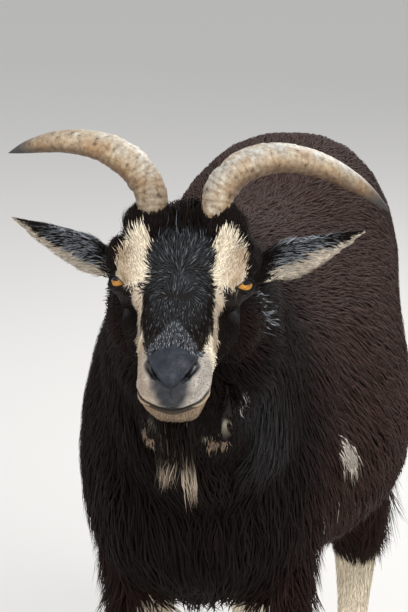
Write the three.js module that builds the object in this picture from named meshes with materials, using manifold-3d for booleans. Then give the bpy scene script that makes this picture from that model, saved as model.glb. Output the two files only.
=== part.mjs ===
// A life-size standing goat: a grown horned goat with a deep barrel and a long dark coat.
// Millimetres, +Z up, the nose towards -Y, the goat's left side towards +X.
import * as THREE from "three";
import { mergeVertices } from "three/addons/utils/BufferGeometryUtils.js";
import { LoftGeometry } from "three/addons/geometries/LoftGeometry.js";
import Module from "manifold-3d";

const wasm = await Module();
wasm.setup();

// ---------------------------------------------------------------- driving sizes
const CLEAR = 0.3; // gap between pieces that touch
const CUT = 0.5; // width of the thin cuts that part the body
const SIDES = { left: 1, right: -1 };

const EYES = { x: 35, y: -528, z: 725 }; // midpoint between the eyes
const FACE = { pitch: 33, yaw: 6.2, roll: 0.7 }; // degrees: nose down, nose to its left, tilt
const EYEBALL = { radius: 14, out: 53.5, forward: -7, up: -6 };
const HORN = {
  base: { out: 36, forward: -52, up: 24 }, thick: 16.5, deep: 22,
  left: { length: 242, start: 130, end: -64, settle: 0.4 },
  right: { length: 210, start: 120, end: -45, settle: 0.47 },
};
const EAR = {
  base: { out: 56, forward: -36, up: -22 }, leaf: [16, 22, 24.5, 22, 16, 9, 2], cup: 0.5,
  wall: 3.4, lift: 7,
  left: { out: 115, back: 66, up: -6 }, right: { out: 123, back: 77, up: -13 },
};
const LEG_OUT = { fore: 74, hind: 62 };
const LEGS_ASIDE = -6; // the stance lies a little to the goat's right of its middle
const HOOF_TOP = 42;
const HOOF_Y = { fore: -209, hind: 306 };
const KNEE = { fore: 236, hind: 224 };
// Where a leg parts from the trunk: its cut rises outwards from the inner face.
const LEG_CUT = {
  fore: { low: 350, inner: 34, front: -300, back: -110 },
  hind: { low: 388, inner: 30, front: 176, back: 480 },
  rise: 0.8, bevel: { in: 26, down: 40 }, floor: -60, outer: 320,
};
const NAPE_CUT = { y: -422, z: 700, lean: -5 }; // behind the jaw
const SHOULDER_CUT = { y: -262, z: 600, lean: -34 }; // in front of the shoulder
const FAR = 1200; // longer than the goat, for cutting blocks

// ---------------------------------------------------------------- shared tools
const v3 = (x, y, z) => new THREE.Vector3(x, y, z);

const MATERIALS = {
  coat: new THREE.MeshStandardMaterial({ color: 0x211a18, roughness: 0.75 }),
  brown: new THREE.MeshStandardMaterial({ color: 0x33221d, roughness: 0.75 }),
  cream: new THREE.MeshStandardMaterial({ color: 0xd9c09a, roughness: 0.85 }),
  horn: new THREE.MeshStandardMaterial({ color: 0xa38c74, roughness: 0.55 }),
  hoof: new THREE.MeshStandardMaterial({ color: 0x2b2622, roughness: 0.5 }),
  eye: new THREE.MeshStandardMaterial({ color: 0xb56a1c, roughness: 0.1 }),
};

// Catmull-Rom value between the rows of a table, at a fractional row t.
function between(rows, column, t) {
  const last = rows.length - 1;
  const i = Math.min(Math.floor(t), last - 1);
  const f = t - i;
  const [a, b, c, d] = [i - 1, i, i + 1, i + 2].map(
    (k) => rows[THREE.MathUtils.clamp(k, 0, last)][column],
  );
  const slopeB = (c - a) / 2;
  const slopeC = (d - b) / 2;
  const h = f * f * (3 - 2 * f);
  return b + (c - b) * h + slopeB * f * (1 - f) ** 2 - slopeC * f * f * (1 - f);
}

// A closed ring of points: a superellipse with its own reach up and down,
// narrower at the top where taper is above 0.
function oval(frame, { wide, up, down, taper, square }, sides) {
  const points = [];
  for (let j = 0; j < sides; j++) {
    const angle = ((j + 0.5) / sides) * 2 * Math.PI;
    const [c, s] = [Math.cos(angle), Math.sin(angle)];
    const along = Math.sign(c) * Math.abs(c) ** (2 / square) * wide * (1 - taper * s);
    const rise = Math.sign(s) * Math.abs(s) ** (2 / square) * (s > 0 ? up : down);
    points.push(
      frame.at.clone().addScaledVector(frame.across, along).addScaledVector(frame.top, rise),
    );
  }
  return points;
}

// The frame at each of a row of centres: top leans towards the given direction,
// square to the line through the centres.
function framesAlong(centres, toward) {
  return centres.map((at, i) => {
    const tangent = centres[Math.min(i + 1, centres.length - 1)]
      .clone()
      .sub(centres[Math.max(i - 1, 0)])
      .normalize();
    const top = toward.clone().addScaledVector(tangent, -toward.dot(tangent)).normalize();
    return { at, top, across: top.clone().cross(tangent), tangent };
  });
}

// A round-ended solid through stations of
// [x, y, z, half width, reach up, reach down, taper, squareness].
// domes are the lengths that the two ends bulge past the first and last station.
function loft(stations, { rings, sides, toward, domes = [0, 0], grow = 0 }) {
  const full = stations.map(([x, y, z, wide, up, down, taper = 0, square = 2]) =>
    [x, y, z, wide, up, down, taper, square]);
  const centres = [];
  const sizes = [];
  for (let i = 0; i <= rings; i++) {
    const t = (i / rings) * (full.length - 1);
    centres.push(v3(between(full, 0, t), between(full, 1, t), between(full, 2, t)));
    sizes.push({
      wide: between(full, 3, t) + grow, up: between(full, 4, t) + grow,
      down: between(full, 5, t) + grow, taper: between(full, 6, t), square: between(full, 7, t),
    });
  }
  const frames = framesAlong(centres, toward);
  const sections = frames.map((frame, i) => oval(frame, sizes[i], sides));
  const dome = (frame, size, length, sign) => {
    const steps = [0.55, 0.93];
    return steps.map((share) => {
      const shrink = Math.sqrt(1 - share * share);
      const at = frame.at.clone().addScaledVector(frame.tangent, sign * length * share);
      const smaller = { ...size, wide: size.wide * shrink, up: size.up * shrink,
        down: size.down * shrink };
      return oval({ ...frame, at }, smaller, sides);
    });
  };
  if (domes[0]) sections.unshift(...dome(frames[0], sizes[0], domes[0], -1).reverse());
  if (domes[1]) sections.push(...dome(frames.at(-1), sizes.at(-1), domes[1], 1));
  return new LoftGeometry(sections, { capStart: true, capEnd: true });
}

function solid(geometry) {
  const bare = new THREE.BufferGeometry().copy(geometry);
  bare.deleteAttribute("normal");
  bare.deleteAttribute("uv");
  const merged = mergeVertices(bare, 1e-3);
  return new wasm.Manifold(
    new wasm.Mesh({
      numProp: 3,
      vertProperties: merged.attributes.position.array,
      triVerts: new Uint32Array(merged.index.array),
    }),
  );
}

function geometryOf(made) {
  const mesh = made.getMesh();
  const geometry = new THREE.BufferGeometry();
  geometry.setAttribute("position", new THREE.BufferAttribute(mesh.vertProperties, 3));
  geometry.setIndex(new THREE.BufferAttribute(mesh.triVerts, 1));
  geometry.computeVertexNormals();
  return geometry;
}

const join = (...solids) => solids.reduce((all, next) => all.add(next));

function ball(x, y, z, rx, ry, rz, fine = 9) {
  return new THREE.SphereGeometry(1, fine, Math.round(fine * 0.55))
    .scale(rx, ry, rz)
    .translate(x, y, z);
}

// A box with its middle at a point, turned about X by lean degrees.
function block(x, y, z, sx, sy, sz, lean = 0) {
  return solid(
    new THREE.BoxGeometry(sx, sy, sz)
      .rotateX(THREE.MathUtils.degToRad(lean))
      .translate(x, y, z),
  );
}

// Head-frame geometry: x out to the goat's left, y back along the face, z out of the forehead.
const headPlace = new THREE.Matrix4()
  .makeTranslation(EYES.x, EYES.y, EYES.z)
  .multiply(
    new THREE.Matrix4().makeRotationFromEuler(
      new THREE.Euler(
        THREE.MathUtils.degToRad(FACE.pitch),
        THREE.MathUtils.degToRad(FACE.roll),
        THREE.MathUtils.degToRad(FACE.yaw),
        "ZYX",
      ),
    ),
  );
const onHead = (geometry) => geometry.applyMatrix4(headPlace);
// A direction set out upright, as it reads in the head frame.
const upright = (direction) =>
  direction.normalize().applyAxisAngle(v3(1, 0, 0), THREE.MathUtils.degToRad(-FACE.pitch));

// ---------------------------------------------------------------- flesh
function trunkForm(grow = 0) {
  // x, y, z, half width, up, down, taper, squareness: rump to breast
  const barrel = loft(
    [
      [0, 398, 552, 58, 66, 62, 0.1, 2.1],
      [0, 355, 562, 94, 122, 92, 0.08, 2.2],
      [0, 290, 566, 117, 168, 112, 0.05, 2.4],
      [0, 215, 552, 130, 198, 146, 0.02, 2.5],
      [-3, 140, 518, 154, 220, 182, 0.14, 2.2],
      [-5, 55, 488, 168, 234, 172, 0.2, 2.1],
      [-5, -40, 482, 163, 234, 158, 0.2, 2.1],
      [-7, -125, 488, 147, 234, 152, 0.18, 2.15],
      [-7, -195, 492, 134, 224, 162, 0.12, 2.25],
      [-5, -262, 496, 117, 186, 158, 0.06, 2.3],
      [-3, -318, 494, 90, 128, 130, 0, 2.2],
    ],
    { rings: 20, sides: 20, toward: v3(0, 0, 1), domes: [22, 28], grow },
  );
  return solid(barrel);
}

function neckForm() {
  const neck = loft(
    [
      [-2, -205, 565, 108, 122, 172, 0.1, 2.1],
      [3, -275, 596, 103, 110, 166, 0.1, 2.1],
      [10, -335, 636, 94, 94, 142, 0.08, 2.1],
      [18, -388, 678, 84, 78, 110, 0.05, 2.1],
      [26, -430, 708, 75, 64, 82, 0.02, 2.1],
      [32, -468, 730, 66, 51, 66, 0, 2.1],
    ],
    { rings: 8, sides: 18, toward: v3(0, -0.6, 1), domes: [10, 8] },
  );
  return solid(neck);
}

function headForm() {
  // The head frame: y runs from the poll (+) to the nose (-), z out of the forehead.
  const skull = loft(
    [
      [0, 98, -40, 52, 46, 50, 0, 2.1],
      [0, 70, -38, 61, 56, 62, 0, 2.3],
      [0, 40, -36, 62, 66, 68, -0.02, 2.5],
      [0, 12, -34, 59, 64, 66, -0.02, 2.5],
      [0, -18, -34, 50, 56, 58, 0.02, 2.5],
      [0, -50, -34, 40, 47, 50, 0.04, 2.5],
      [0, -82, -37, 36, 43, 40, 0.02, 2.4],
      [0, -104, -40, 35, 40, 34, 0, 2.3],
      [0, -119, -42, 30, 32, 28, 0, 2.2],
    ],
    { rings: 11, sides: 16, toward: v3(0, 0, 1), domes: [14, 7] },
  );
  const paired = Object.values(SIDES).flatMap((side) => [
    ball(side * 42, 10, 0, 26, 44, 26), // brow over the eye
    ball(side * 33, -4, -36, 26, 62, 28), // cheekbone
    ball(side * 42, 26, -68, 39, 56, 40), // cheek with its ruff
    ball(side * 20, -98, -37, 17.5, 28, 17), // upper lip
    ball(side * 18, -108, -16, 12.5, 20, 14), // nostril wing
  ]);
  const single = [
    ball(0, 66, 12, 36, 32, 24), // mop on the poll
    ball(0, -108, -62, 23, 20, 15), // chin
  ];
  const nostrils = Object.values(SIDES).map((side) =>
    new THREE.SphereGeometry(1, 6, 5)
      .scale(3.5, 13, 5)
      .rotateX(THREE.MathUtils.degToRad(40))
      .rotateZ(THREE.MathUtils.degToRad(-side * 42))
      .translate(side * 17, -122, -12),
  );
  const mouth = ball(0, -84, -50, 48, 45, 1.5, 12);
  return [...nostrils, mouth].reduce(
    (face, hollow) => face.subtract(solid(onHead(hollow))),
    join(solid(onHead(skull)), ...[...paired, ...single].map((part) => solid(onHead(part)))),
  );
}

const LEG_STATIONS = {
  // dx, y, z, half width, front, back: shoulder or hip down to the coronet
  fore: [
    [2, -195, 590, 34, 66, 70],
    [6, -208, 500, 44, 68, 74],
    [4, -200, 420, 44, 56, 66],
    [2, -194, 345, 36, 40, 46],
    [0, -195, 290, 33, 31, 33],
    [0, -197, 236, 26, 26, 24],
    [-1, -195, 190, 19, 18, 20],
    [0, -193, 135, 17, 16, 18],
    [1, -195, 96, 19, 19, 21],
    [2, -203, 62, 18, 17, 17],
    [2, -209, HOOF_TOP, 22, 20, 20],
  ],
  hind: [
    [6, 255, 620, 40, 84, 104],
    [10, 262, 530, 52, 100, 130],
    [14, 262, 440, 50, 92, 104],
    [14, 280, 365, 42, 62, 68],
    [8, 315, 290, 33, 40, 46],
    [2, 345, 225, 25, 26, 29],
    [0, 343, 185, 20, 20, 22],
    [0, 332, 130, 17, 16, 18],
    [1, 322, 95, 19, 19, 20],
    [2, 312, 62, 18, 17, 17],
    [2, 306, HOOF_TOP, 22, 20, 20],
  ],
};

function legForm(end, side) {
  const stations = LEG_STATIONS[end].map(([dx, y, z, wide, front, back]) => [
    LEGS_ASIDE + side * (LEG_OUT[end] + dx), y, z, wide, front, back,
  ]);
  return solid(loft(stations, { rings: 13, sides: 10, toward: v3(0, -1, 0), domes: [24, 0] }));
}

function tailForm(grow = 0) {
  return solid(
    loft(
      [
        [0, 452, 520, 7, 6, 8],
        [0, 456, 560, 17, 10, 14],
        [0, 450, 605, 24, 14, 18],
        [0, 428, 642, 25, 17, 20],
        [0, 392, 655, 22, 20, 22],
      ],
      { rings: 5, sides: 8, toward: v3(0, 0.7, 1), domes: [8, 6], grow },
    ),
  );
}

// ---------------------------------------------------------------- horns, ears, eyes, beard
// The frames of a horn or an ear; a cutter's root reaches past that of the piece it is cut for.
function framesFromRoot(centres, toward, grow) {
  const frames = framesAlong(centres, toward);
  frames[0].at.addScaledVector(frames[0].tangent, -2 * grow);
  return frames;
}

function hornForm(name, grow = 0) {
  const side = SIDES[name];
  const { length, start, end, settle } = HORN[name];
  const steps = 14;
  const centres = [v3(side * HORN.base.out, -HORN.base.forward, HORN.base.up)];
  for (let i = 0; i < steps; i++) {
    const share = (i + 0.5) / steps;
    const angle = THREE.MathUtils.degToRad(end + (start - end) * Math.exp(-share / settle));
    const backward = 0.4 * Math.min(1, 0.35 + share);
    const step = upright(v3(side * Math.cos(angle), backward, Math.sin(angle)));
    centres.push(centres.at(-1).clone().addScaledVector(step, length / steps));
  }
  const sections = framesFromRoot(centres, upright(v3(0, 1, 0)), grow).map((frame, i) => {
    const share = i / steps;
    const slim = Math.sqrt(Math.max(0, 1 - share ** 1.9)) * (1 - 0.25 * share) + 0.02;
    const swell = 1 + 0.1 * Math.sin(Math.PI * Math.min(1, share * 2));
    const thick = HORN.thick * slim * swell;
    const deep = HORN.deep * slim;
    const size = { wide: thick + grow, up: deep + grow, down: deep + grow, taper: 0, square: 2 };
    return oval(frame, size, 10);
  });
  return solid(onHead(new LoftGeometry(sections, { capStart: true, capEnd: true })));
}

// A leaf rolled into a cup: each section is an arc with a wall, open forwards and down.
function earForm(name, grow = 0) {
  const side = SIDES[name];
  const { out, back, up } = EAR[name];
  const reach = v3(side * out, back, up);
  const base = v3(side * EAR.base.out, -EAR.base.forward, EAR.base.up);
  const leafRows = EAR.leaf.map((width) => [width]);
  const steps = 9;
  const centres = Array.from({ length: steps + 1 }, (_, i) => {
    const share = i / steps;
    return base.clone().addScaledVector(reach, share).add(v3(0, 0, EAR.lift * share ** 2));
  });
  const sections = framesFromRoot(centres, upright(v3(0, -0.85, -0.5)), grow).map((frame, i) => {
    const width = between(leafRows, 0, (i / steps) * (leafRows.length - 1));
    const wall = EAR.wall * Math.min(1, 0.35 + width / 24);
    const cup = width * EAR.cup;
    const arc = 4;
    const points = [];
    for (let j = 0; j <= arc; j++) {
      const angle = Math.PI * (j / arc);
      points.push([-(width + grow) * Math.cos(angle), -(cup + grow) * Math.sin(angle)]);
    }
    for (let j = arc; j >= 0; j--) {
      const angle = Math.PI * (j / arc);
      points.push([-(width * 0.86 - grow) * Math.cos(angle),
        wall + grow - cup * Math.sin(angle)]);
    }
    return points.map(([across, rise]) =>
      frame.at.clone().addScaledVector(frame.across, across).addScaledVector(frame.top, rise));
  });
  return solid(onHead(new LoftGeometry(sections, { capStart: true, capEnd: true })));
}

function eyeForm(side, grow = 0) {
  const { radius, out, forward, up } = EYEBALL;
  const size = radius + grow;
  return solid(onHead(ball(side * out, -forward, up, size, size, size, 12)));
}

function beardForm(grow = 0) {
  return solid(
    loft(
      [
        [42, -570, 648, 24, 15, 17],
        [44, -578, 612, 30, 17, 19],
        [46, -578, 580, 26, 14, 17],
        [48, -576, 550, 17, 9, 12],
        [50, -575, 526, 6, 5, 5],
      ],
      { rings: 5, sides: 8, toward: v3(0, -1, 0), domes: [4, 6], grow },
    ),
  );
}

function wattleForm(side, grow = 0) {
  const x = 30 + side * 35;
  return solid(
    loft(
      [
        [x, -446, 612, 7, 7, 7],
        [x + side, -458, 588, 7.5, 7.5, 7.5],
        [x + side * 2, -463, 562, 8, 8, 8],
      ],
      { rings: 2, sides: 6, toward: v3(0, -1, 0), domes: [4, 8], grow },
    ),
  );
}

// ---------------------------------------------------------------- hooves
function clawForm(end, side, toe) {
  const x = LEGS_ASIDE + side * (LEG_OUT[end] + 2) + toe * 12.6;
  const y = HOOF_Y[end];
  const claw = loft(
    [
      [x, y + 2, HOOF_TOP + 10, 9.5, 15, 17, 0, 2.3],
      [x, y - 1, 30, 11.2, 22, 20, 0, 2.4],
      [x, y - 6, 12, 12, 29, 21, 0, 2.5],
      [x, y - 9, -8, 12.2, 32, 21, 0, 2.5],
    ],
    { rings: 3, sides: 9, toward: v3(0, -1, 0) },
  );
  const height = HOOF_TOP - CLEAR;
  return solid(claw).intersect(block(x, y, height / 2, 60, 120, height));
}

function dewclawForm(end, side, toe, grow = 0) {
  const [, y, z] = LEG_STATIONS[end][8];
  const x = LEGS_ASIDE + side * (LEG_OUT[end] + 1) + toe * 12;
  return solid(ball(x, y + 18, z - 8, 6 + grow, 7 + grow, 9 + grow, 7));
}

// ---------------------------------------------------------------- parting the body
// The prism that holds one leg, from a slanted cut over the elbow or stifle down.
function legRegion(end, side, clearance) {
  const { low, inner, back, front } = LEG_CUT[end];
  const { rise, bevel, floor, outer } = LEG_CUT;
  const g = clearance / 2;
  const outline = new THREE.Shape();
  outline.moveTo(inner - bevel.in + g, floor);
  outline.lineTo(outer, floor);
  outline.lineTo(outer, low + (outer - inner) * rise - g);
  outline.lineTo(inner, low - g);
  outline.lineTo(inner - bevel.in + g, low - bevel.down - g);
  const prism = new THREE.ExtrudeGeometry(outline, {
    depth: back - front - 2 * g, bevelEnabled: false,
  });
  prism.rotateX(Math.PI / 2).translate(0, back - g, 0);
  const made = solid(prism);
  return side > 0 ? made : solid(mirrored(geometryOf(made)));
}

function mirrored(geometry) {
  const turned = geometry.clone().scale(-1, 1, 1);
  const order = turned.index.array;
  for (let i = 0; i < order.length; i += 3) {
    [order[i + 1], order[i + 2]] = [order[i + 2], order[i + 1]];
  }
  return turned;
}

const goat = new THREE.Group();

function place(name, made, material) {
  const [whole] = made.decompose().sort((a, b) => b.volume() - a.volume()); // without slivers
  const mesh = new THREE.Mesh(geometryOf(whole), MATERIALS[material]);
  mesh.name = name;
  goat.add(mesh);
}

// All that lies ahead of a leaning cut, less half the gap.
function ahead(cut, gap) {
  const lean = THREE.MathUtils.degToRad(cut.lean);
  const reach = FAR / 2 + gap / 2;
  return block(0, cut.y - reach * Math.cos(lean), cut.z - reach * Math.sin(lean),
    FAR, FAR, FAR, cut.lean);
}

function buildGoat() {
  const trunk = trunkForm();
  const neck = neckForm();
  const head = headForm();
  const legs = ["fore", "hind"].flatMap((end) =>
    Object.entries(SIDES).map(([name, side]) => ({ end, name, side, whole: legForm(end, side) })));
  const shoulders = legs.map(({ end, side, whole }) => whole.subtract(legRegion(end, side, -CUT)));
  const body = join(trunk, neck, head, ...shoulders);
  const headPart = body.intersect(ahead(NAPE_CUT, CUT));
  const rest = body.subtract(ahead(NAPE_CUT, -CUT));
  const neckPart = rest.intersect(ahead(SHOULDER_CUT, CUT));
  const trunkPart = rest.subtract(ahead(SHOULDER_CUT, -CUT));

  const slab = (z) => block(0, 0, z, FAR, FAR, FAR);
  for (const { end, name, side, whole } of legs) {
    const leg = whole.intersect(legRegion(end, side, CUT)).subtract(trunkForm(CUT));
    const upper = leg.intersect(slab(KNEE[end] + CUT / 2 + FAR / 2));
    let lower = leg
      .intersect(slab(KNEE[end] - CUT / 2 - FAR / 2))
      .subtract(slab(HOOF_TOP - FAR / 2));
    for (const [toeName, toe] of [["outer", side], ["inner", -side]]) {
      lower = lower.subtract(dewclawForm(end, side, toe, CLEAR));
      place(`${end}_${name}_dewclaw_${toeName}`, dewclawForm(end, side, toe), "hoof");
      place(`${end}_${name}_claw_${toeName}`, clawForm(end, side, toe), "hoof");
    }
    place(`${end}_${name}_upper_leg`, upper, "coat");
    place(`${end}_${name}_lower_leg`, lower, "cream");
  }

  place("trunk", trunkPart.subtract(tailForm(CLEAR)), "brown");
  place("tail", tailForm(), "coat");

  let headLeft = headPart;
  let neckLeft = neckPart;
  for (const [name, side] of Object.entries(SIDES)) {
    for (const form of [
      (g) => hornForm(name, 2 * g), (g) => earForm(name, 2 * g), (g) => eyeForm(side, g),
      (g) => wattleForm(side, g),
    ]) {
      headLeft = headLeft.subtract(form(CLEAR));
      neckLeft = neckLeft.subtract(form(CLEAR));
    }
    place(`horn_${name}`, hornForm(name), "horn");
    place(`ear_${name}`, earForm(name), "coat");
    place(`eye_${name}`, eyeForm(side), "eye");
    place(`wattle_${name}`, wattleForm(side), "cream");
  }
  headLeft = headLeft.subtract(beardForm(CLEAR));
  place("beard", beardForm(), "coat");
  place("head", headLeft, "coat");
  place("neck", neckLeft, "coat");
}

buildGoat();

// The origin lies on the floor, under the middle of the box.
const reach = new THREE.Box3().setFromObject(goat);
const middle = reach.getCenter(v3(0, 0, 0));
goat.position.set(-middle.x, -middle.y, -reach.min.z);

export default goat;
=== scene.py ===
"""A life-size goat: its skin, coat, eyes, horns, claws and studio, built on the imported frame."""
import math
from contextlib import contextmanager
from typing import NamedTuple

import bpy
import numpy as np
from mathutils import Matrix, Vector
from mathutils.bvhtree import BVHTree


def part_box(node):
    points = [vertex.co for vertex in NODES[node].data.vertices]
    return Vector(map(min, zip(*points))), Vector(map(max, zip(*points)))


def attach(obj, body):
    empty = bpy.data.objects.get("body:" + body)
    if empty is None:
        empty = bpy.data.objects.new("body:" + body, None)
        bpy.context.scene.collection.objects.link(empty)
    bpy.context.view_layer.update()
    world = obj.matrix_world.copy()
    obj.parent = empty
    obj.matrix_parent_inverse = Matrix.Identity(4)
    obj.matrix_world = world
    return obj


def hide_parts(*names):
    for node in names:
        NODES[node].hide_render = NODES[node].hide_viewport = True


bl_info = {
    "name": "Goat Dressing",
    "version": (1, 0, 0),
    "blender": (4, 5, 0),
    "location": "View3D > Sidebar > Goat",
    "description": "Dresses the goat's frame in skin, coat, eyes, horns and claws",
    "category": "Object",
}

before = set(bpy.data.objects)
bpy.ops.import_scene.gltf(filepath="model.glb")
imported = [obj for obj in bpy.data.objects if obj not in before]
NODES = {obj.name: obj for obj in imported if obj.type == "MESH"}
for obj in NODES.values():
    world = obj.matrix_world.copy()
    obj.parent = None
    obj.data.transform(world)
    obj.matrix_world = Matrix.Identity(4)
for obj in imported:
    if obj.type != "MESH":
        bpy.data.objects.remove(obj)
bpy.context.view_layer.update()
MM = 0.001
SEED = 41

# ------------------------------------------------------------------ the goat's own places
SIDES = {"left": 1, "right": -1}
FACE_PITCH, FACE_YAW, FACE_ROLL = 33.0, 6.2, 0.7  # degrees: nose down, nose to its left, tilt
EYE_CENTRE = (53.5, 7.0, -6.0)  # in the head's own directions, millimetres
EYE_RADIUS = 14.0
EYE_OPENING = Vector((0.774, -0.487, 0.400))  # middle of the lids' opening, from the eye's middle
EYE_CORNERS = Vector((0.629, 0.658, -0.415))  # from the front corner to the back one
EYE_GAZE = Vector((0.763, -0.319, 0.565))
STITCH_Y = -0.300  # behind the ears, where the fine skin of the head meets the body's
THROAT_Y = -0.3  # the pale patches ahead of here are the throat's


def middle(node):
    low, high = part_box(node)
    return (low + high) / 2


def turned(angle, axis):
    return Matrix.Rotation(math.radians(angle), 3, axis)


HEAD_TURN = turned(FACE_YAW, "Z") @ turned(FACE_ROLL, "Y") @ turned(FACE_PITCH, "X")
EYES_MIDDLE = (middle("eye_left") + middle("eye_right")) / 2
HEAD_ORIGIN = EYES_MIDDLE - HEAD_TURN @ (Vector((0, EYE_CENTRE[1], EYE_CENTRE[2])) * MM)
TURN = np.array(HEAD_TURN)
ORIGIN = np.array(HEAD_ORIGIN)


def to_head(points):
    """Metres in the frame to millimetres along the head: left, back along the face, out of it."""
    return (points - ORIGIN) @ TURN / MM


def from_head(points):
    return np.asarray(points, float) * MM @ TURN.T + ORIGIN


def smooth_step(low, high, value):
    share = np.clip((value - low) / (high - low), 0, 1)
    return share * share * (3 - 2 * share)


def near_line(points, start, end, radius, soft):
    """1 within a radius of the line between two points, falling to 0 over a soft rim."""
    start, end = np.array(start, float), np.array(end, float)
    along = end - start
    share = np.clip((points - start) @ along / (along @ along), 0, 1)
    gap = np.linalg.norm(points - start - share[:, None] * along, axis=1)
    return 1 - smooth_step(radius - soft, radius + soft, gap)


def near_path(points, path, radius, soft):
    near = np.zeros(len(points))
    for start, end in zip(path, path[1:]):
        near = np.maximum(near, near_line(points, start, end, radius, soft))
    return near


def both_sides(points):
    """The head's points with every x on the left."""
    folded = points.copy()
    folded[:, 0] = np.abs(folded[:, 0])
    return folded


def unit(rows):
    """The rows as directions of length 1."""
    return rows / np.maximum(np.linalg.norm(rows, axis=1, keepdims=True), 1e-9)


# ------------------------------------------------------------------ combing guides
# place (mm), lie of the hair, depth of the coat, length, width of a tuft, lift of its tip (mm)
HEAD_GUIDES = [
    ((0, -20, 20), (0, 0.2, 0.3), 2.0, 9, 1.0, 0.5),
    ((0, 22, 27), (0, 1, 0.1), 2.6, 15, 1.1, 1.5),
    ((17, 12, 25), (0.45, 0.9, 0.05), 2.4, 13, 1.1, 1.0),
    ((16, -14, 20), (0.9, -0.3, 0), 2.0, 9, 1.0, 0.5),
    ((44, 10, 22), (0.22, 0.95, 0.1), 1.8, 11, 1.0, 0.6),
    ((66, 14, 2), (0.60, 0.70, 0.35), 1.6, 13, 1.0, 2.0),
    ((68, 34, 4), (0.35, 0.65, 0.65), 2.4, 20, 1.1, 6.0),
    ((60, 52, 12), (0.35, 0.55, 0.75), 3.0, 22, 1.1, 7.0),
    ((78, 44, -8), (0.60, 0.50, 0.50), 2.6, 20, 1.1, 5.0),
    ((40, 47, 30), (0.1, 0.75, 0.6), 2.2, 12, 1.0, 1.0),
    ((34, 56, 44), (-0.2, 0.6, 0.75), 2.0, 13, 1.0, 1.5),
    ((52, 66, 28), (0.0, 0.6, 0.75), 2.4, 15, 1.1, 3.0),
    ((16, 62, 42), (-0.1, 0.6, 0.75), 2.4, 15, 1.1, 2.0),
    ((30, 84, 36), (-0.1, 0.6, 0.75), 3.0, 18, 1.2, 3.0),
    ((0, 56, 34), (0, 0.7, 0.7), 7.0, 28, 1.5, 9.0),
    ((0, 84, 22), (0, 0.8, 0.5), 8.0, 30, 1.7, 8.0),
    ((0, 108, -10), (0, 0.75, -0.6), 8.0, 36, 2.0, 5.0),
    ((0, -48, 13), (0, -1, 0), 1.0, 7, 0.8, 0.3),
    ((0, -76, 6), (0, -1, 0), 0.6, 5, 0.7, 0.3),
    ((26, -48, 6), (0.3, -0.9, -0.3), 1.0, 7, 0.8, 0.3),
    ((38, -30, -2), (0.2, -0.8, -0.6), 1.0, 7, 0.8, 0.3),
    ((52, -16, -22), (0.2, -0.35, -0.9), 2.0, 9, 1.0, 0.6),
    ((42, -40, -40), (0.1, 0.1, -1), 2.0, 9, 1.0, 0.6),
    ((37, -86, -24), (0.1, 0.75, -0.6), 0.5, 4.5, 0.7, 0.2),
    ((22, -118, -34), (0.5, 0.2, -0.85), 0.4, 3.0, 0.6, 0.2),
    ((24, -112, -56), (0.3, 0.3, -0.85), 0.6, 5, 0.7, 0.4),
    ((0, -124, -60), (0, 0.1, -1), 0.8, 7, 0.7, 1.6),
    ((0, -104, -70), (0, 0.3, -0.95), 1.6, 11, 0.8, 5.5),
    ((0, -90, -82), (0, 0.3, -0.95), 5.0, 22, 1.4, 3.0),
    ((30, -60, -80), (0.1, 0.4, -0.9), 5.0, 20, 1.4, 3.0),
    ((56, 0, -64), (0.2, 0.3, -0.9), 6.0, 18, 1.4, 2.5),
    ((70, 18, -72), (0.35, 0.35, -0.85), 9.0, 26, 1.3, 6.0),
    ((70, 58, -70), (0.3, 0.6, -0.75), 9.0, 30, 1.4, 6.0),
    ((40, 0, -122), (0.1, 0.3, -0.95), 10.0, 38, 2.2, 6.0),
    ((0, -30, -120), (0, 0.2, -0.95), 9.0, 38, 2.2, 5.0),
    ((35, -8, -172), (0, 0.1, -1), 1.4, 15, 1.2, 1.5),
    ((36, -8, -200), (0, 0.1, -1), 1.4, 15, 1.2, 1.5),
    ((66, 6, -4), (0.8, 0.6, -0.1), 0.6, 6.0, 0.8, 0.3),
    ((60, -8, 8), (0.35, 0.75, 0.55), 0.8, 7.0, 0.9, 0.5),
    ((56, -12, -16), (0.2, -0.1, -1.0), 0.8, 7.0, 0.9, 0.4),
    ((47, -19, 9), (0.1, 0.5, 0.85), 1.0, 8.0, 0.9, 0.4),
    ((45, -25, -4), (0.1, -0.4, -0.9), 1.0, 8.0, 0.9, 0.4),
    ((66, 26, -20), (0.5, 0.8, -0.2), 1.2, 8.0, 0.9, 0.4),
    ((70, 42, -22), (0.86, 0.5, -0.05), 2.0, 12, 1.2, 1.0),
    ((110, 72, -16), (0.86, 0.5, -0.05), 0.8, 10, 1.0, 0.6),
    ((104, 66, -44), (0.70, 0.40, -0.60), 0.9, 19, 1.0, 4.0),
    ((140, 86, -38), (0.75, 0.45, -0.50), 0.8, 16, 1.0, 3.0),
    ((166, 100, -22), (0.86, 0.5, -0.05), 0.6, 9, 0.9, 0.6),
]
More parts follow.
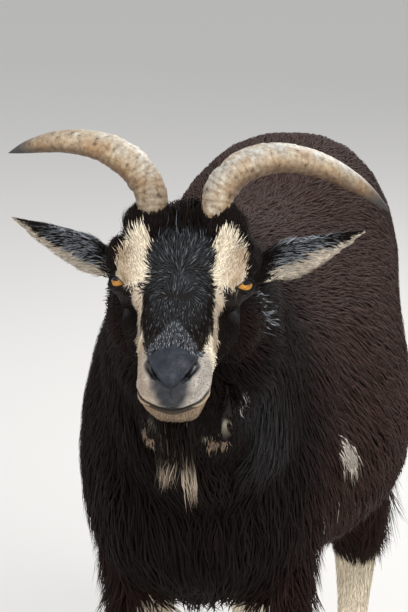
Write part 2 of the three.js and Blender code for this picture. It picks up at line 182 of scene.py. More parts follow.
BODY_GUIDES = [
    ((0, -250, 745), (0, 1, 0.05), 8, 40, 2.2, 4),
    ((88, -240, 640), (0, 0.5, -0.85), 9, 46, 2.2, 3),
    ((60, -290, 560), (0, 0.15, -1), 11, 54, 2.3, 5),
    ((0, -300, 500), (0, -0.1, -1), 14, 66, 2.4, 6),
    ((0, -258, 420), (0, 0.1, -1), 17, 78, 2.6, 8),
    ((70, -230, 400), (0, 0.15, -1), 16, 72, 2.6, 7),
    ((0, -190, 345), (0, 0.25, -0.95), 18, 84, 2.5, 30),
    ((120, -160, 520), (0, 0.35, -0.95), 9, 50, 2.4, 2.5),
    ((140, -60, 520), (0, 0.65, -0.75), 8, 50, 2.5, 2),
    ((60, -60, 700), (0, 0.95, -0.3), 4, 40, 2, 0.7),
    ((0, -40, 722), (0, 1, 0), 4, 38, 2, 0.7),
    ((0, 150, 722), (0, 1, -0.02), 3, 36, 2, 0.7),
    ((80, 150, 690), (0, 0.9, -0.4), 3, 38, 2, 0.7),
    ((150, 100, 520), (0, 0.75, -0.65), 8, 50, 2.6, 2),
    ((155, 60, 400), (0, 0.7, -0.7), 10, 56, 2.7, 4),
    ((90, 60, 320), (0, 0.8, -0.6), 13, 62, 2.8, 8),
    ((0, 60, 305), (0, 0.9, -0.45), 13, 60, 3.0, 9),
    ((120, 260, 480), (0, 0.6, -0.8), 8, 52, 2.6, 2.5),
    ((0, 300, 735), (0, 1, -0.1), 3, 36, 2, 0.7),
    ((90, 330, 650), (0, 0.7, -0.7), 3, 38, 2, 0.7),
    ((0, 430, 690), (0, 0.8, -0.6), 3, 38, 2, 0.7),
    ((50, 480, 600), (0, 0.2, -1), 9, 50, 2.6, 3),
    ((115, 390, 520), (0, 0.3, -0.95), 8, 50, 2.6, 2.5),
    ((40, 440, 420), (0, 0.2, -1), 9, 50, 2.7, 4),
    ((0, 260, 430), (0, 0.8, -0.6), 10, 44, 3.0, 5),
    ((100, 260, 400), (0.1, 0.3, -0.95), 11, 64, 2.6, 9),
    ((80, 330, 330), (0.15, 0.25, -0.95), 9, 54, 2.5, 9),
    ((104, 362, 322), (0.40, -0.05, -0.90), 9, 70, 2.1, 34),
    ((70, 400, 300), (0, 0.2, -1), 5, 36, 2.3, 3),
    ((62, 425, 225), (0, 0.1, -1), 2.2, 16, 1.7, 1),
    ((62, 412, 140), (0, 0, -1), 1.5, 11, 1.5, 0.6),
    ((64, 395, 66), (0, 0.05, -1), 2.2, 20, 1.5, 3.0),
    ((100, -110, 400), (0, 0.2, -1), 11, 58, 2.4, 12),
    ((84, -100, 325), (0.15, 0.20, -1), 8, 56, 2.2, 24),
    ((75, -114, 250), (0, 0.05, -1), 2.6, 20, 1.8, 2),
    ((75, -112, 150), (0, 0, -1), 1.5, 11, 1.5, 0.6),
    ((75, -124, 66), (0, 0.05, -1), 2.2, 20, 1.5, 3.0),
    ((0, 520, 650), (0, 0.7, -0.75), 8, 46, 2.4, 5),
    ((0, 540, 580), (0, 0.1, -1), 8, 52, 2.4, 6),
]
BODY_MIDDLE_X = -0.0267  # the body stands a little to the goat's right
SHOULDERS_Y = -200  # the guides ahead of here (mm) lie round the frame's own middle
GUIDE_BATCH = 20000  # how many points are combed at a time
GUIDE_CORE = 6 * MM  # within this of a guide its pull grows no more
GUIDE_FALL = 2.5


def all_guides():
    """Every guide on both sides, in the frame: places (m), directions and sizes (mm)."""
    places, lies, sizes = [], [], []
    for side in SIDES.values():
        for guides in (HEAD_GUIDES, BODY_GUIDES):
            for place, lie, *size in guides:
                if place[0] == 0 and side < 0:
                    continue
                place = np.array(place) * (side, 1, 1)
                lie = np.array(lie) * (side, 1, 1)
                if guides is HEAD_GUIDES:
                    place, lie = from_head(place), TURN @ lie
                else:
                    shift = BODY_MIDDLE_X if place[1] > SHOULDERS_Y else 0
                    place = place * MM + (shift, 0, 0)
                places.append(place)
                lies.append(lie)
                sizes.append(size)
    return np.array(places), unit(np.array(lies)), np.array(sizes, float)


GUIDE_PLACES, GUIDE_LIES, GUIDE_SIZES = all_guides()


def combed(points):
    """The lie and the sizes of the coat at some points, blended from the nearest guides."""
    lies = np.empty((len(points), 3))
    sizes = np.empty((len(points), GUIDE_SIZES.shape[1]))
    for start in range(0, len(points), GUIDE_BATCH):
        batch = slice(start, start + GUIDE_BATCH)
        gap = ((points[batch, None, :] - GUIDE_PLACES[None]) ** 2).sum(2)
        weight = 1 / (gap + GUIDE_CORE ** 2) ** GUIDE_FALL
        weight /= weight.sum(1, keepdims=True)
        lies[batch] = weight @ GUIDE_LIES
        sizes[batch] = weight @ GUIDE_SIZES
    return lies, sizes


# ------------------------------------------------------------------ markings
def wavy(points, scale, phase=0.0):
    """Soft unevenness between -1 and 1 from crossed waves; scale is the wave's length."""
    p = points * (2 * math.pi / scale)
    a = np.sin(p[:, 0] * 1.1 + 1.7 * np.sin(p[:, 1] * 0.6 + phase) + phase)
    b = np.sin(p[:, 1] * 0.9 + 1.3 * np.sin(p[:, 2] * 0.7 - phase) + 2.1)
    c = np.sin(p[:, 2] * 1.2 + 1.9 * np.sin(p[:, 0] * 0.5 + phase) + 4.2)
    return (a + b + c) / 3


# The line of a nostril and the groove under the nose, in the head's directions.
NOSTRIL = [(24, -101, -7), (20.5, -110, -6), (15.5, -117, -8), (9, -123, -11), (3, -126, -13)]
GROOVE = [(0, -126, -13), (0, -127, -26)]
LID_SHIFT, LID_SPAN = 3, 43  # the opening's middle and half its width (degrees)
LIDS_REACH = 25  # farther from an eye's middle than this (mm) there is no opening
SOCKET_REACH = 34  # how far from an eye's middle its lids shape the skin (mm)


def from_eye(head):
    """The ways (mm) from the nearer eye's middle to places of the head, and their lengths."""
    out = both_sides(head) - np.array(EYE_CENTRE)
    return out, np.linalg.norm(out, axis=1)


def eye_rays(head):
    """Distances (mm) and rays from the nearer eye's middle, how far the rays face along the
    middle of the lids' opening, and their angles (degrees) along and above that middle."""
    out, reach = from_eye(head)
    ray = out / np.maximum(reach, 1e-6)[:, None]
    opening = np.array(EYE_OPENING.normalized())
    across = np.array(EYE_CORNERS) - opening * EYE_CORNERS.dot(EYE_OPENING.normalized())
    across /= np.linalg.norm(across)
    facing = ray @ opening
    u = np.degrees(np.arctan2(ray @ across, facing))
    v = np.degrees(np.arctan2(ray @ np.cross(across, opening), facing))
    return reach, ray, facing, u, v


def lid_edges(u, v):
    """The angles of the upper and lower lid's edge, and how far inside the opening a ray is."""
    along = np.clip((u + LID_SHIFT) / LID_SPAN, -1, 1)
    curve = np.cos(along * math.pi / 2)
    upper = 16.5 * curve ** 0.7 - 2 * along
    lower = -19 * curve ** 0.9 + along
    inside = np.minimum(np.minimum(upper - v, v - lower), LID_SPAN - np.abs(u + LID_SHIFT))
    return upper, lower, inside


def in_eye_opening(head, margin):
    reach, _, _, u, v = eye_rays(head)
    return (lid_edges(u, v)[2] > -margin) & (reach < LIDS_REACH)


def above_mouth(face):
    """How far above the mouth's line the places of a folded head lie (mm)."""
    x, y, z = face.T
    front = -46 + 12 * smooth_step(0, 32, x)
    return z - (front - 0.34 * np.maximum(0, y + 108))


def chin_share(head):
    """How much a place belongs to the lower lip and the chin."""
    face = both_sides(head)
    below = smooth_step(2, -4, above_mouth(face))
    return below * smooth_step(-70, -82, face[:, 1]) * smooth_step(-96, -84, face[:, 2])


def slate(head):
    """How bare and slate grey the skin is: the nose pad, the nostrils' rims, the lip below."""
    face = both_sides(head)
    x, y, z = face.T
    width = np.interp(-y, [84, 88, 92, 100, 108, 116, 122, 128], [0, 12, 23, 25, 24, 20, 15, 9])
    pad = smooth_step(1.5, -1.5, x - width) * smooth_step(-20, -16, z - 0.35 * x)
    wing = near_path(face, NOSTRIL, 5, 3)
    reach = 19 - 0.36 * np.clip(-z - 16, 0, 30) + 1.5 * wavy(from_head(head), 0.012)
    lip = 0.97 * smooth_step(7, -6, x - reach) * smooth_step(-104, -112, y)
    lip *= smooth_step(-50, -38, z) * smooth_step(-2, -10, z)
    return np.maximum.reduce([pad, 0.9 * wing, lip])


def hollow(head):
    """How dark the painted shade is in the openings and creases: the nostrils, the groove under
    them, the mouth, the lips' front round it and the lids' rims.
    """
    face = both_sides(head)
    _, y, z = face.T
    rise = above_mouth(face)
    front = near_path(face, NOSTRIL[2:], 2.0, 1.0)
    slit = np.maximum(near_path(face, NOSTRIL[:3], 3.0, 1.0), front)
    groove = near_path(face, GROOVE, 1.1, 0.8)
    mouth = 0.94 * (1 - smooth_step(1.2, 3.4, np.abs(rise))) * smooth_step(-76, -84, y)
    under = smooth_step(-8, -4, rise)
    under *= 0.85 * smooth_step(-106, -113, y) * (z < -40)
    reach, _, _, u, v = eye_rays(head)
    rim = 0.9 * smooth_step(-10, -6, lid_edges(u, v)[2]) * (reach < LIDS_REACH)
    return np.maximum.reduce([slit, groove, mouth, under, rim])


# Patches of short pale hair: start, end and radius (mm), and how pale. The last three are the
# throat's.
PATCHES = [
    ((100, -92, 488), (107, -70, 474), 12, 1.0),
    ((99, -97, 520), (101, -92, 504), 4, 0.45),
    ((103, -92, 462), (102, -94, 450), 4, 0.5),
    ((128, 32, 488), (127, 29, 474), 4, 0.5),
    ((88, -135, 440), (88, -138, 424), 4, 0.4),
    ((50, -352, 606), (51, -345, 584), 6, 0.6),
    ((24, -342, 545), (36, -339, 548), 7, 0.6),
    ((-44, -331, 554), (-40, -333, 540), 7, 0.65),
]


def patches(points):
    near = [share * near_line(points / MM, start, end, radius, 0.6 * radius)
            for start, end, radius, share in PATCHES]
    return np.maximum.reduce(near)


def in_patch(patched):
    """1 inside a pale patch, falling to 0 at its rim."""
    return smooth_step(0.1, 0.4, patched)


def under_eye(face):
    return near_line(face, (56, -14, -13), (70, 6, -18), 9, 8)


def painted_sheen_and_grey(points):
    """A faint greyness over all the hair of the face's middle, under the eyes and on the neck:
    painted sheen on the face's middle and the neck, the hair's own grey under the eyes.
    """
    face = both_sides(to_head(points))
    brow = near_line(face, (0, -40, 14), (0, 16, 26), 24, 8)
    neck = near_line(points / MM, (70, -330, 590), (78, -262, 535), 28, 26)
    return np.maximum.reduce([0.11 * brow, 0.24 * under_eye(face), 0.065 * neck])


EAR_SPLITS = {  # where the ears' dark turns pale: places out along an ear, heights there (mm)
    "left": ([80, 100, 120, 140, 170], [-30, -31, -28, -26, -20]),
    "right": ([80, 100, 130, 144, 170], [-34, -36, -34, -31, -25]),
}
LOW_THROAT = 0.560  # under this height (m) the throat's patches are tan


def face_marks(face):
    """The cream brows, the thin stripes under them and the pale muzzle."""
    x, y, z = face.T
    flat = face * (1, 1, 0.25)
    brow = near_path(flat, [(43, 22, 4), (46, 4, 4), (44, -8, 4)], 15.5, 2.5)
    brow *= smooth_step(1, 7, z)
    stripe = near_path(face, [(41, -14, 18), (38.5, -32, 3), (37.5, -47, -12), (36, -64, -22)],
                       4.4, 1.6)
    lip = smooth_step(-48.5, -56.5, y - 0.3 * z) * smooth_step(-78, -70, z)
    bridge = 33 - 0.2 * np.maximum(0, -y - 55)  # half width of the dark face
    lip *= 1 - (1 - smooth_step(bridge - 1.5, bridge + 1.5, x)) * smooth_step(-13, -7, z)
    return brow, stripe, lip


def ear_marks(head):
    """Where the ears are, and the pale band along their lower edges."""
    x, y, z = both_sides(head).T
    ear = smooth_step(74, 82, x) * smooth_step(-70, -60, z) * (y < 125)
    left, right = (np.interp(x, *EAR_SPLITS[name]) for name in SIDES)
    split = np.where(head[:, 0] > 0, left, right)
    in_front = smooth_step(64, 58, y - 0.6 * (x - 84))
    band = ear * in_front * smooth_step(2.0, -2.0, z - split)
    return ear, np.maximum(band, ear * smooth_step(-38, -42, z))


def leg_marks(points):
    """The cream of the lower legs, with a ragged edge, higher on the insides in front."""
    rag = 12 * MM * wavy(points, 0.05)
    aside = np.abs(points[:, 0] - BODY_MIDDLE_X)
    inner = (aside > 0.026) & (aside < 0.070) & (points[:, 1] < -0.04)
    top = np.where(points[:, 1] < 0.05, np.where(inner, 0.345, 0.265), 0.250)
    cream = smooth_step(top + 0.012, top - 0.012, points[:, 2] + rag)
    return cream * (points[:, 1] > -0.22)


def markings(points):
    """The markings at some points of the frame, 0 to 1 each: how pale the coat is, how grey and
    how brown its dark hair is, how dull and how tan its pale hair is."""
    head = to_head(points)
    face = both_sides(head)
    x, y, z = face.T
    on_head = 1 - smooth_step(70, 110, np.linalg.norm(head - (0, -10, -30), axis=1) - 40)
    brow, stripe, lip = face_marks(face)
    ear, ear_band = ear_marks(head)
    patched = patches(points)
    # Painted shade: the lower lip is darker in its middle, under the upper lip. The wattles are
    # pale.
    rise = above_mouth(face)
    lip_shadow = smooth_step(-12, -8, rise) * smooth_step(4, 1, rise) * smooth_step(-104, -112, y)
    pale = np.maximum.reduce([brow, stripe, lip])
    pale *= 1 - 0.3 * lip_shadow * smooth_step(24, 14, x)
    wattle = near_line(face, (41, -38, -166), (33, -36, -184), 12, 3)
    pale = np.maximum(pale, wattle) * on_head
    pale = np.maximum.reduce([pale, ear_band, patched, leg_marks(points)])
    # Grey hairs: the patch over the nose, flecks down the face, the fringe behind the jaw.
    patch = 0.5 * smooth_step(3, -3, x - 0.8 * (-y - 53)) * smooth_step(-52, -62, y)
    patch *= smooth_step(-12, -6, z)
    fringe = 0.34 * near_line(head, (69, 36, -58), (73, 52, -102), 12, 8)
    fleck = 0.16 * near_line(face, (0, -50, 12), (0, 14, 26), 30, 8)
    grey = np.maximum.reduce([patch, fringe, fleck]) * on_head
    grey = np.maximum(grey, 0.50 * ear * smooth_step(165, 110, x))
    # The dark hair is brown over the back and sides, on the cheeks and under the eyes.
    brown = smooth_step(-0.24, -0.04, points[:, 1] + 0.1 * (0.5 - points[:, 2]))
    brown = np.maximum(brown, 0.13) * smooth_step(0.20, 0.36, points[:, 2])
    cheek = near_line(face, (56, -10, -50), (54, 20, -90), 26, 16)
    brown = np.maximum(brown, 0.38 * cheek * on_head)
    brown = np.maximum(brown * (1 - 5 * fleck), 0.7 * under_eye(face) * on_head)
    # On pale hair: the muzzle's sides are dull; the brows' outer parts, chin and edges are tan.
    # The chin's tan is partly its own colour and partly painted shade under the jaw.
    chin = chin_share(head)
    # Painted shade: the muzzle's right side, away from the light, is tan and less dull.
    shaded_right_side = smooth_step(0, -16, head[:, 0])
    dull = smooth_step(-72, -86, y) * (1 - 0.85 * chin) * (1 - 0.35 * shaded_right_side) * on_head
    line = 0.75 * stripe * (1 - brow)
    low_throat = (points[:, 1] < THROAT_Y) & (points[:, 2] < LOW_THROAT)
    inside = in_patch(patched)
    dull = np.maximum.reduce([dull, 0.6 * ear, 0.5 * line,
                              np.where(low_throat, 0.15, 0.9) * inside])
    edge = 0.8 * near_line(face, (55, 16, 16), (49, -8, 12), 10, 8)
    tan = np.maximum.reduce([edge, chin, shaded_right_side * smooth_step(-60, -80, y), line])
    tan = np.maximum(tan, 0.35 * ear) * np.maximum(on_head, ear)
    tan = np.maximum(tan, low_throat * inside)
    return pale, grey, brown, dull, tan


def paint(pale, is_pale, dark_pair, pale_pair):
    """What a material reads: how pale, then the pair of the dark or the pale hair, then 1."""
    columns = [np.where(is_pale, bright, dim) for dim, bright in zip(dark_pair, pale_pair)]
    return np.stack([pale, *columns, np.ones(len(pale))], axis=1)


# ------------------------------------------------------------------ mesh helpers
def only(*objects):
    """Selects these objects alone; the first becomes the active one."""
    bpy.ops.object.select_all(action="DESELECT")
    for item in objects:
        item.select_set(True)
    bpy.context.view_layer.objects.active = objects[0]


def show(name, mesh):
    piece = bpy.data.objects.new(name, mesh)
    bpy.context.scene.collection.objects.link(piece)
    return piece


def apply(piece, kind, **settings):
    """Adds a modifier with these settings and applies it."""
    modifier = piece.modifiers.new(kind.title(), kind)
    for key, value in settings.items():
        setattr(modifier, key, value)
    only(piece)
    bpy.ops.object.modifier_apply(modifier=modifier.name)


@contextmanager
def editing(piece, everything=True):
    """Edit mode on one piece, with all of it selected or nothing."""
    only(piece)
    bpy.ops.object.mode_set(mode="EDIT")
    bpy.ops.mesh.select_all(action="SELECT" if everything else "DESELECT")
    yield
    bpy.ops.object.mode_set(mode="OBJECT")


def copied(name, node_names):
    """One mesh from copies of CAD nodes, its doubles merged."""
    parts = [show(name, NODES[node].data.copy()) for node in node_names]
    only(*parts)
    if len(parts) > 1:
        bpy.ops.object.join()
    piece = bpy.context.view_layer.objects.active
    piece.data.materials.clear()
    bpy.ops.mesh.customdata_custom_splitnormals_clear()
    with editing(piece):
        bpy.ops.mesh.remove_doubles(threshold=0.01 * MM)
    piece.name = name
    return piece


def read(items, field, width, kind=float):
    """A field of a mesh's vertices, edges or faces, as the rows of an array."""
    flat = np.empty(len(items) * width, kind)
    items.foreach_get(field, flat)
    return flat.reshape(-1, width)


def corners(piece):
    """The piece's vertices as an array."""
    return read(piece.data.vertices, "co", 3)


def place_corners(piece, points):
    piece.data.vertices.foreach_set("co", np.ascontiguousarray(points, float).ravel())
    piece.data.update()


def outward(piece):
    """The normal at each vertex."""
    return read(piece.data.vertex_normals, "vector", 3)


def edge_pairs(piece):
    return read(piece.data.edges, "vertices", 2, int)


KEPT_KINDS = {1: ("FLOAT", "value"), 3: ("FLOAT_VECTOR", "vector"), 4: ("FLOAT_COLOR", "color")}


def keep(mesh, name, rows):
    """Keeps a value, a direction or a colour on each vertex, for a material to read."""
    rows = np.ascontiguousarray(rows, float)
    kind, field = KEPT_KINDS[rows.size // len(mesh.vertices)]
    mesh.attributes.new(name, kind, "POINT").data.foreach_set(field, rows.ravel())


def relax(points, pairs, weight, rounds, keep_volume=True):
    """Smooths the points along their edges, growing back after each step to keep the volume."""
    count = np.bincount(pairs.ravel(), minlength=len(points))[:, None]
    steps = (0.5, -0.53) if keep_volume else (0.5,)
    for _ in range(rounds):
        for step in steps:
            total = np.empty_like(points)
            for axis in range(3):
                column = points[:, axis]
                total[:, axis] = np.bincount(pairs[:, 0], column[pairs[:, 1]], len(points))
                total[:, axis] += np.bincount(pairs[:, 1], column[pairs[:, 0]], len(points))
            points = points + weight[:, None] * step * (total / np.maximum(count, 1) - points)
    return points


def cut_away(piece, place, normal, keep_back, fill):
    """Cuts the piece by a plane and keeps the side that its normal points to, or the other."""
    with editing(piece):
        bpy.ops.mesh.bisect(plane_co=place, plane_no=normal, use_fill=fill,
                            clear_inner=keep_back, clear_outer=not keep_back)


# ------------------------------------------------------------------ skin
FLESH = ["trunk", "neck", "head", "tail", "ear_left", "ear_right", "wattle_left",
         "wattle_right"]
FLESH += [f"{end}_{side}_{part}_leg" for end in ("fore", "hind") for side in SIDES
          for part in ("upper", "lower")]

# Solid fillings for the hollows that the frame's head leaves: mouth, nostrils, horn roots.
FILLINGS = [
    ((0, -84, -50), (32, 38, 6)),
    ((0, -112, -20), (24, 8, 14)),
    ((36, 52, 14), (24, 30, 22)),
    ((-36, 52, 14), (24, 30, 22)),
    ((36, 53, 25), (24, 23, 23)),
    ((-36, 53, 25), (24, 23, 23)),
    ((33, 58, 30), (21.5, 21, 21)),
    ((-33, 58, 30), (21.5, 21, 21)),
    ((3, -104, -54), (18, 16, 11)),
    ((61, 32, 4), (14, 23, 15)),
    ((-61, 32, 4), (14, 23, 15)),
]
CHIN_DEPTH = -77  # the underside of the chin, where the beard's own form is cut off
BACKWARD = (0, 1, 0)
STITCH_GAP = 0.0015  # from the stitch to the open edges of head and body (m)
FINE_GAP = 0.004  # nearer to the stitch than this (m) nothing is drawn on the head
DEWCLAW_PAD = (10, 11, 13)


def filled_ball(place, sizes):
    bpy.ops.mesh.primitive_uv_sphere_add(segments=24, ring_count=14, radius=1)
    ball = bpy.context.active_object
    points = corners(ball) * np.array(sizes) + np.array(place)
    place_corners(ball, from_head(points))
    return ball


def fine_head(voxel):
    """The head, ears and front of the neck as one fine mesh, open behind."""
    head = copied("fine_head", ["head", "neck", "ear_left", "ear_right", "wattle_left",
                                "wattle_right", "eye_left", "eye_right"])
    cut_away(head, (0, STITCH_Y + 0.012, 0), BACKWARD, keep_back=False, fill=True)
    chin = copied("chin", ["beard"])
    cut_away(chin, from_head((0, 0, CHIN_DEPTH)), TURN[:, 2], keep_back=True, fill=True)
    balls = [filled_ball(place, sizes) for place, sizes in FILLINGS]
    only(head, chin, *balls)
    bpy.ops.object.join()
    apply(head, "REMESH", mode="VOXEL", voxel_size=voxel)
    cut_away(head, (0, STITCH_Y - STITCH_GAP, 0), BACKWARD, keep_back=False, fill=False)
    return head


def coarse_body(voxel):
    """The flesh behind the stitch as one coarser mesh, open ahead, with a pad of skin before
    each dewclaw."""
    body = copied("coarse_body", [name for name in FLESH if not name.startswith("ear")])
    pads = []
    for name in sorted(NODES):
        if "dewclaw" in name:
            aside = SIDES["right" if "right" in name else "left"]
            aside *= -1 if "inner" in name else 1
            place = middle(name) + Vector((0.001 * aside, -0.007, 0.004))
            pads.append(filled_ball(to_head(np.array(place)), DEWCLAW_PAD))
    only(body, *pads)
    bpy.ops.object.join()
    apply(body, "REMESH", mode="VOXEL", voxel_size=voxel)
    cut_away(body, (0, STITCH_Y + STITCH_GAP, 0), BACKWARD, keep_back=True, fill=False)
    return body


def stitched(head, body):
    """Head and body as one closed skin."""
    only(body, head)
    bpy.ops.object.join()
    with editing(body, everything=False):
        bpy.ops.mesh.select_mode(type="EDGE")
        bpy.ops.mesh.select_non_manifold(extend=False, use_wire=False, use_boundary=True,
                                         use_multi_face=False, use_non_contiguous=False,
                                         use_verts=False)
        bpy.ops.mesh.bridge_edge_loops()
        bpy.ops.mesh.select_mode(type="VERT")
    body.name = "skin"
    return body


def subdivide_near(piece, wanted):
    """Halves the edges of the faces whose middles are wanted."""
    chosen = wanted(read(piece.data.polygons, "center", 3))
    with editing(piece, everything=False):
        bpy.ops.mesh.select_mode(type="FACE")
    piece.data.polygons.foreach_set("select", chosen)
    bpy.ops.object.mode_set(mode="EDIT")
    bpy.ops.mesh.subdivide(number_cuts=1, smoothness=0)
    bpy.ops.mesh.select_mode(type="VERT")
    bpy.ops.object.mode_set(mode="OBJECT")


def rounded_chin(points):
    """Keeps the lower lip and the chin inside a round form."""
    head = to_head(points)
    x, y, z = head.T
    ahead = smooth_step(-66, -84, y) * (z > -100) * (points[:, 1] < STITCH_Y)
    front = -126 + 0.020 * np.clip(-48 - z, 0, 28) ** 2
    past = np.hypot((x - 1) / 35, np.minimum(z + 24, 0) / 53)
    pull = ahead * smooth_step(-24, -38, z) * (1 / np.maximum(past, 1) - 1)
    head[:, 1] += ahead * (z < -46) * np.maximum(front - y, 0)
    head[:, 0] += pull * (x - 1)
    head[:, 2] += pull * (z + 24)
    return from_head(head)


def lids(head_points):
    """Draws the skin round each eye into two lids with an opening between them."""
    reach, ray, facing, u, v = eye_rays(head_points)
    upper, lower, inside = lid_edges(u, v)
    angle = np.degrees(np.arccos(np.clip(facing, -1, 1)))
    near = (angle < 75) & (reach < SOCKET_REACH)
    gape = smooth_step(-1.5, 2.5, inside)
    lid = EYE_RADIUS + 2.6 + 0.8 * smooth_step(0, 16, v)
    fold = 0.9 * np.exp(-((v - upper - 15) / 3.5) ** 2)
    fold += 0.7 * np.exp(-((lower - v - 14) / 3.5) ** 2)
    rim = 0.7 * np.exp(-((inside + 4) / 3.0) ** 2)
    target = lid - fold + rim - gape * 4.2
    share = np.where(near, 1 - smooth_step(34, 58, np.hypot(u / 1.25, v)), 0)
    radius = reach * (1 - share) + target * share
    cover = EYE_RADIUS + 1.5
    covered = cover + 0.35 * np.maximum(radius - cover, 0)
    low = (radius < cover + 2.0) & (gape < 0.02) & (reach < SOCKET_REACH)
    radius = np.where(low, np.maximum(radius, covered), radius)
    moved = np.array(EYE_CENTRE) + ray * radius[:, None]
    moved[:, 0] *= np.where(head_points[:, 0] < 0, -1, 1)
    return np.where((reach < 40)[:, None], moved, head_points)


def muzzle_details(points, normals):
    """Nostrils, the groove under the nose, the mouth's line and the lips."""
    face = both_sides(points)
    x, y, _ = face.T
    sink = 5.0 * near_path(face, NOSTRIL[:3], 2.1, 1.6)
    sink += 3.2 * near_path(face, NOSTRIL[2:], 1.1, 1.1)
    sink -= 1.2 * near_path(face + (3.2, 1.0, -4.2), NOSTRIL[:4], 2.6, 2.4)
    sink += 1.8 * near_path(face, GROOVE, 0.6, 0.9)
    ahead = smooth_step(-74, -82, y)
    rise = above_mouth(face)
    sink += 4.2 * np.exp(-(rise / 1.5) ** 2) * ahead * (1 - 0.7 * smooth_step(16, 28, x))
    sink -= 0.9 * np.exp(-((rise - 4.0) / 2.2) ** 2) * ahead
    sink -= 1.0 * np.exp(-((rise + 4.5) / 2.6) ** 2) * ahead
    return points - normals * sink[:, None]


def head_share(points):
    return 1 - smooth_step(-0.33, -0.29, points[:, 1])


def fine_only(points):
    return points[:, 1] < STITCH_Y - FINE_GAP


def smooth_skin(skin):
    """Rounds the skin's form and sinks it by the depth of the coat."""
    points = corners(skin)
    pairs = edge_pairs(skin)
    fine = head_share(points)
    slim = 1 - smooth_step(0.20, 0.34, points[:, 2])
    points = relax(points, pairs, 1 - 0.75 * np.maximum(fine, slim), rounds=40)
    face = both_sides(to_head(points))
    ears = smooth_step(72, 84, face[:, 0])
    mouth_slot = near_line(face, (0, -84, -50), (0, -84.1, -50), 60, 2)
    mouth_slot *= np.exp(-((face[:, 2] + 50) / 7) ** 2)
    nose = near_line(face, (14, -118, -10), (22, -104, -8), 12, 4)
    chin = smooth_step(-64, -80, face[:, 1]) * smooth_step(-50, -58, face[:, 2])
    points = relax(points, pairs, fine * (1 - 0.9 * ears), rounds=80)
    points = rounded_chin(points)
    rough = fine * np.maximum.reduce([mouth_slot, nose, chin])
    points = relax(points, pairs, rough, rounds=30, keep_volume=False)
    place_corners(skin, points)
    _, coat = combed(points)
    points = points - outward(skin) * (coat[:, :1] * MM * 0.9)
    place_corners(skin, relax(points, pairs, 0.6 - 0.45 * fine, rounds=4))


def draw_features(skin):
    """Makes the mesh finer at the eyes and the muzzle, and draws the lids, lips and nostrils."""

    def detailed(centres):
        place = to_head(centres)
        muzzle = (place[:, 1] < -74) & (place[:, 2] > -75) & (centres[:, 1] < STITCH_Y)
        return muzzle | (from_eye(place)[1] < 28)

    def redraw(draw):
        points = corners(skin)
        drawn = from_head(draw(to_head(points)))
        place_corners(skin, np.where(fine_only(points)[:, None], drawn, points))

    subdivide_near(skin, detailed)
    subdivide_near(skin, lambda centres: from_eye(to_head(centres))[1] < 22)
    points = corners(skin)
    points = relax(points, edge_pairs(skin), detailed(points) * 0.8, rounds=5)
    place_corners(skin, points)
    redraw(lids)
    redraw(lambda head: muzzle_details(head, outward(skin) @ TURN))


def build_skin():
    sizes = bpy.context.scene.goat_skin
    skin = stitched(fine_head(sizes.head_mesh), coarse_body(sizes.body_mesh))
    smooth_skin(skin)
    draw_features(skin)
    only(skin)
    bpy.ops.object.shade_smooth()
    points = corners(skin)
    head = to_head(points)
    pale, grey, brown, dull, tan = markings(points)
    grey = 0.3 * grey * smooth_step(0.3, 0.6, grey)
    keep(skin.data, "marks", paint(pale, pale > 0.5, (grey, brown), (dull, tan)))
    keep(skin.data, "bare", slate(head) * fine_only(points))
    # Painted shade, near black, in the nostrils, the groove under them, the mouth and the lids'
    # rims.
    keep(skin.data, "hollow", hollow(head) * fine_only(points))
    finish_piece(skin, material("goat_skin", skin_look), "coat_dark", *FLESH)


# ------------------------------------------------------------------ horns, eyes and claws
HORN_BASE = (36, 52, 24)  # where a horn leaves the brow, in the head's directions
# A horn's length (mm), its slope at the root and at the tip (degrees) and how slowly it turns.
HORN_BENDS = {"left": (242, 130, -64, 0.4), "right": (210, 120, -45, 0.47)}
HORN_STEPS = 14
HORN_ROOT = 16  # how far a horn's root goes on into the head
RING_GAP, YEAR_GAP = 6.1, 37  # from one growth ring to the next, and between deep ones (mm)


def horn_line(side_name):
    """The middle line of a horn from its root to its tip, in the frame."""
    side = SIDES[side_name]
    length, start, end, settle = HORN_BENDS[side_name]
    back = turned(-FACE_PITCH, "X")
    line = [Vector((side * HORN_BASE[0], HORN_BASE[1], HORN_BASE[2]))]
    for i in range(HORN_STEPS):
        share = (i + 0.5) / HORN_STEPS
        angle = math.radians(end + (start - end) * math.exp(-share / settle))
        backward = 0.4 * min(1, 0.35 + share)
        step = Vector((side * math.cos(angle), backward, math.sin(angle))).normalized()
        line.append(line[-1] + back @ step * (length / HORN_STEPS))
    return from_head([tuple(point) for point in line])


def along_line(points, line):
    """How far along a line of points each point lies, 0 to 1, the way the line runs there and
    the nearest place on it."""
    best = np.full(len(points), np.inf)
    share = np.zeros(len(points))
    run = np.zeros_like(points)
    places = np.zeros_like(points)
    for k, (start, end) in enumerate(zip(line, line[1:])):
        step = end - start
        t = np.clip((points - start) @ step / (step @ step), 0, 1)
        near = start + t[:, None] * step
        gap = np.linalg.norm(points - near, axis=1)
        closer = gap < best
        best[closer] = gap[closer]
        share[closer] = ((k + t) / (len(line) - 1))[closer]
        run[closer] = step / np.linalg.norm(step)
        places[closer] = near[closer]
    return share, run, places


def smoothed(piece, levels):
    """Rounds a copy of a coarse CAD node."""
    with editing(piece):
        bpy.ops.mesh.tris_convert_to_quads()
    apply(piece, "SUBSURF", levels=levels, render_levels=levels)
    only(piece)
    bpy.ops.object.shade_smooth()


def finish_piece(piece, made, slot, *nodes):
    """Gives a piece its material, hangs it under the frame's root and hides the CAD nodes it
    stands for.
    """
    piece.data.materials.append(made)
    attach(piece, "root")
    if nodes:
        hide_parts(*nodes)


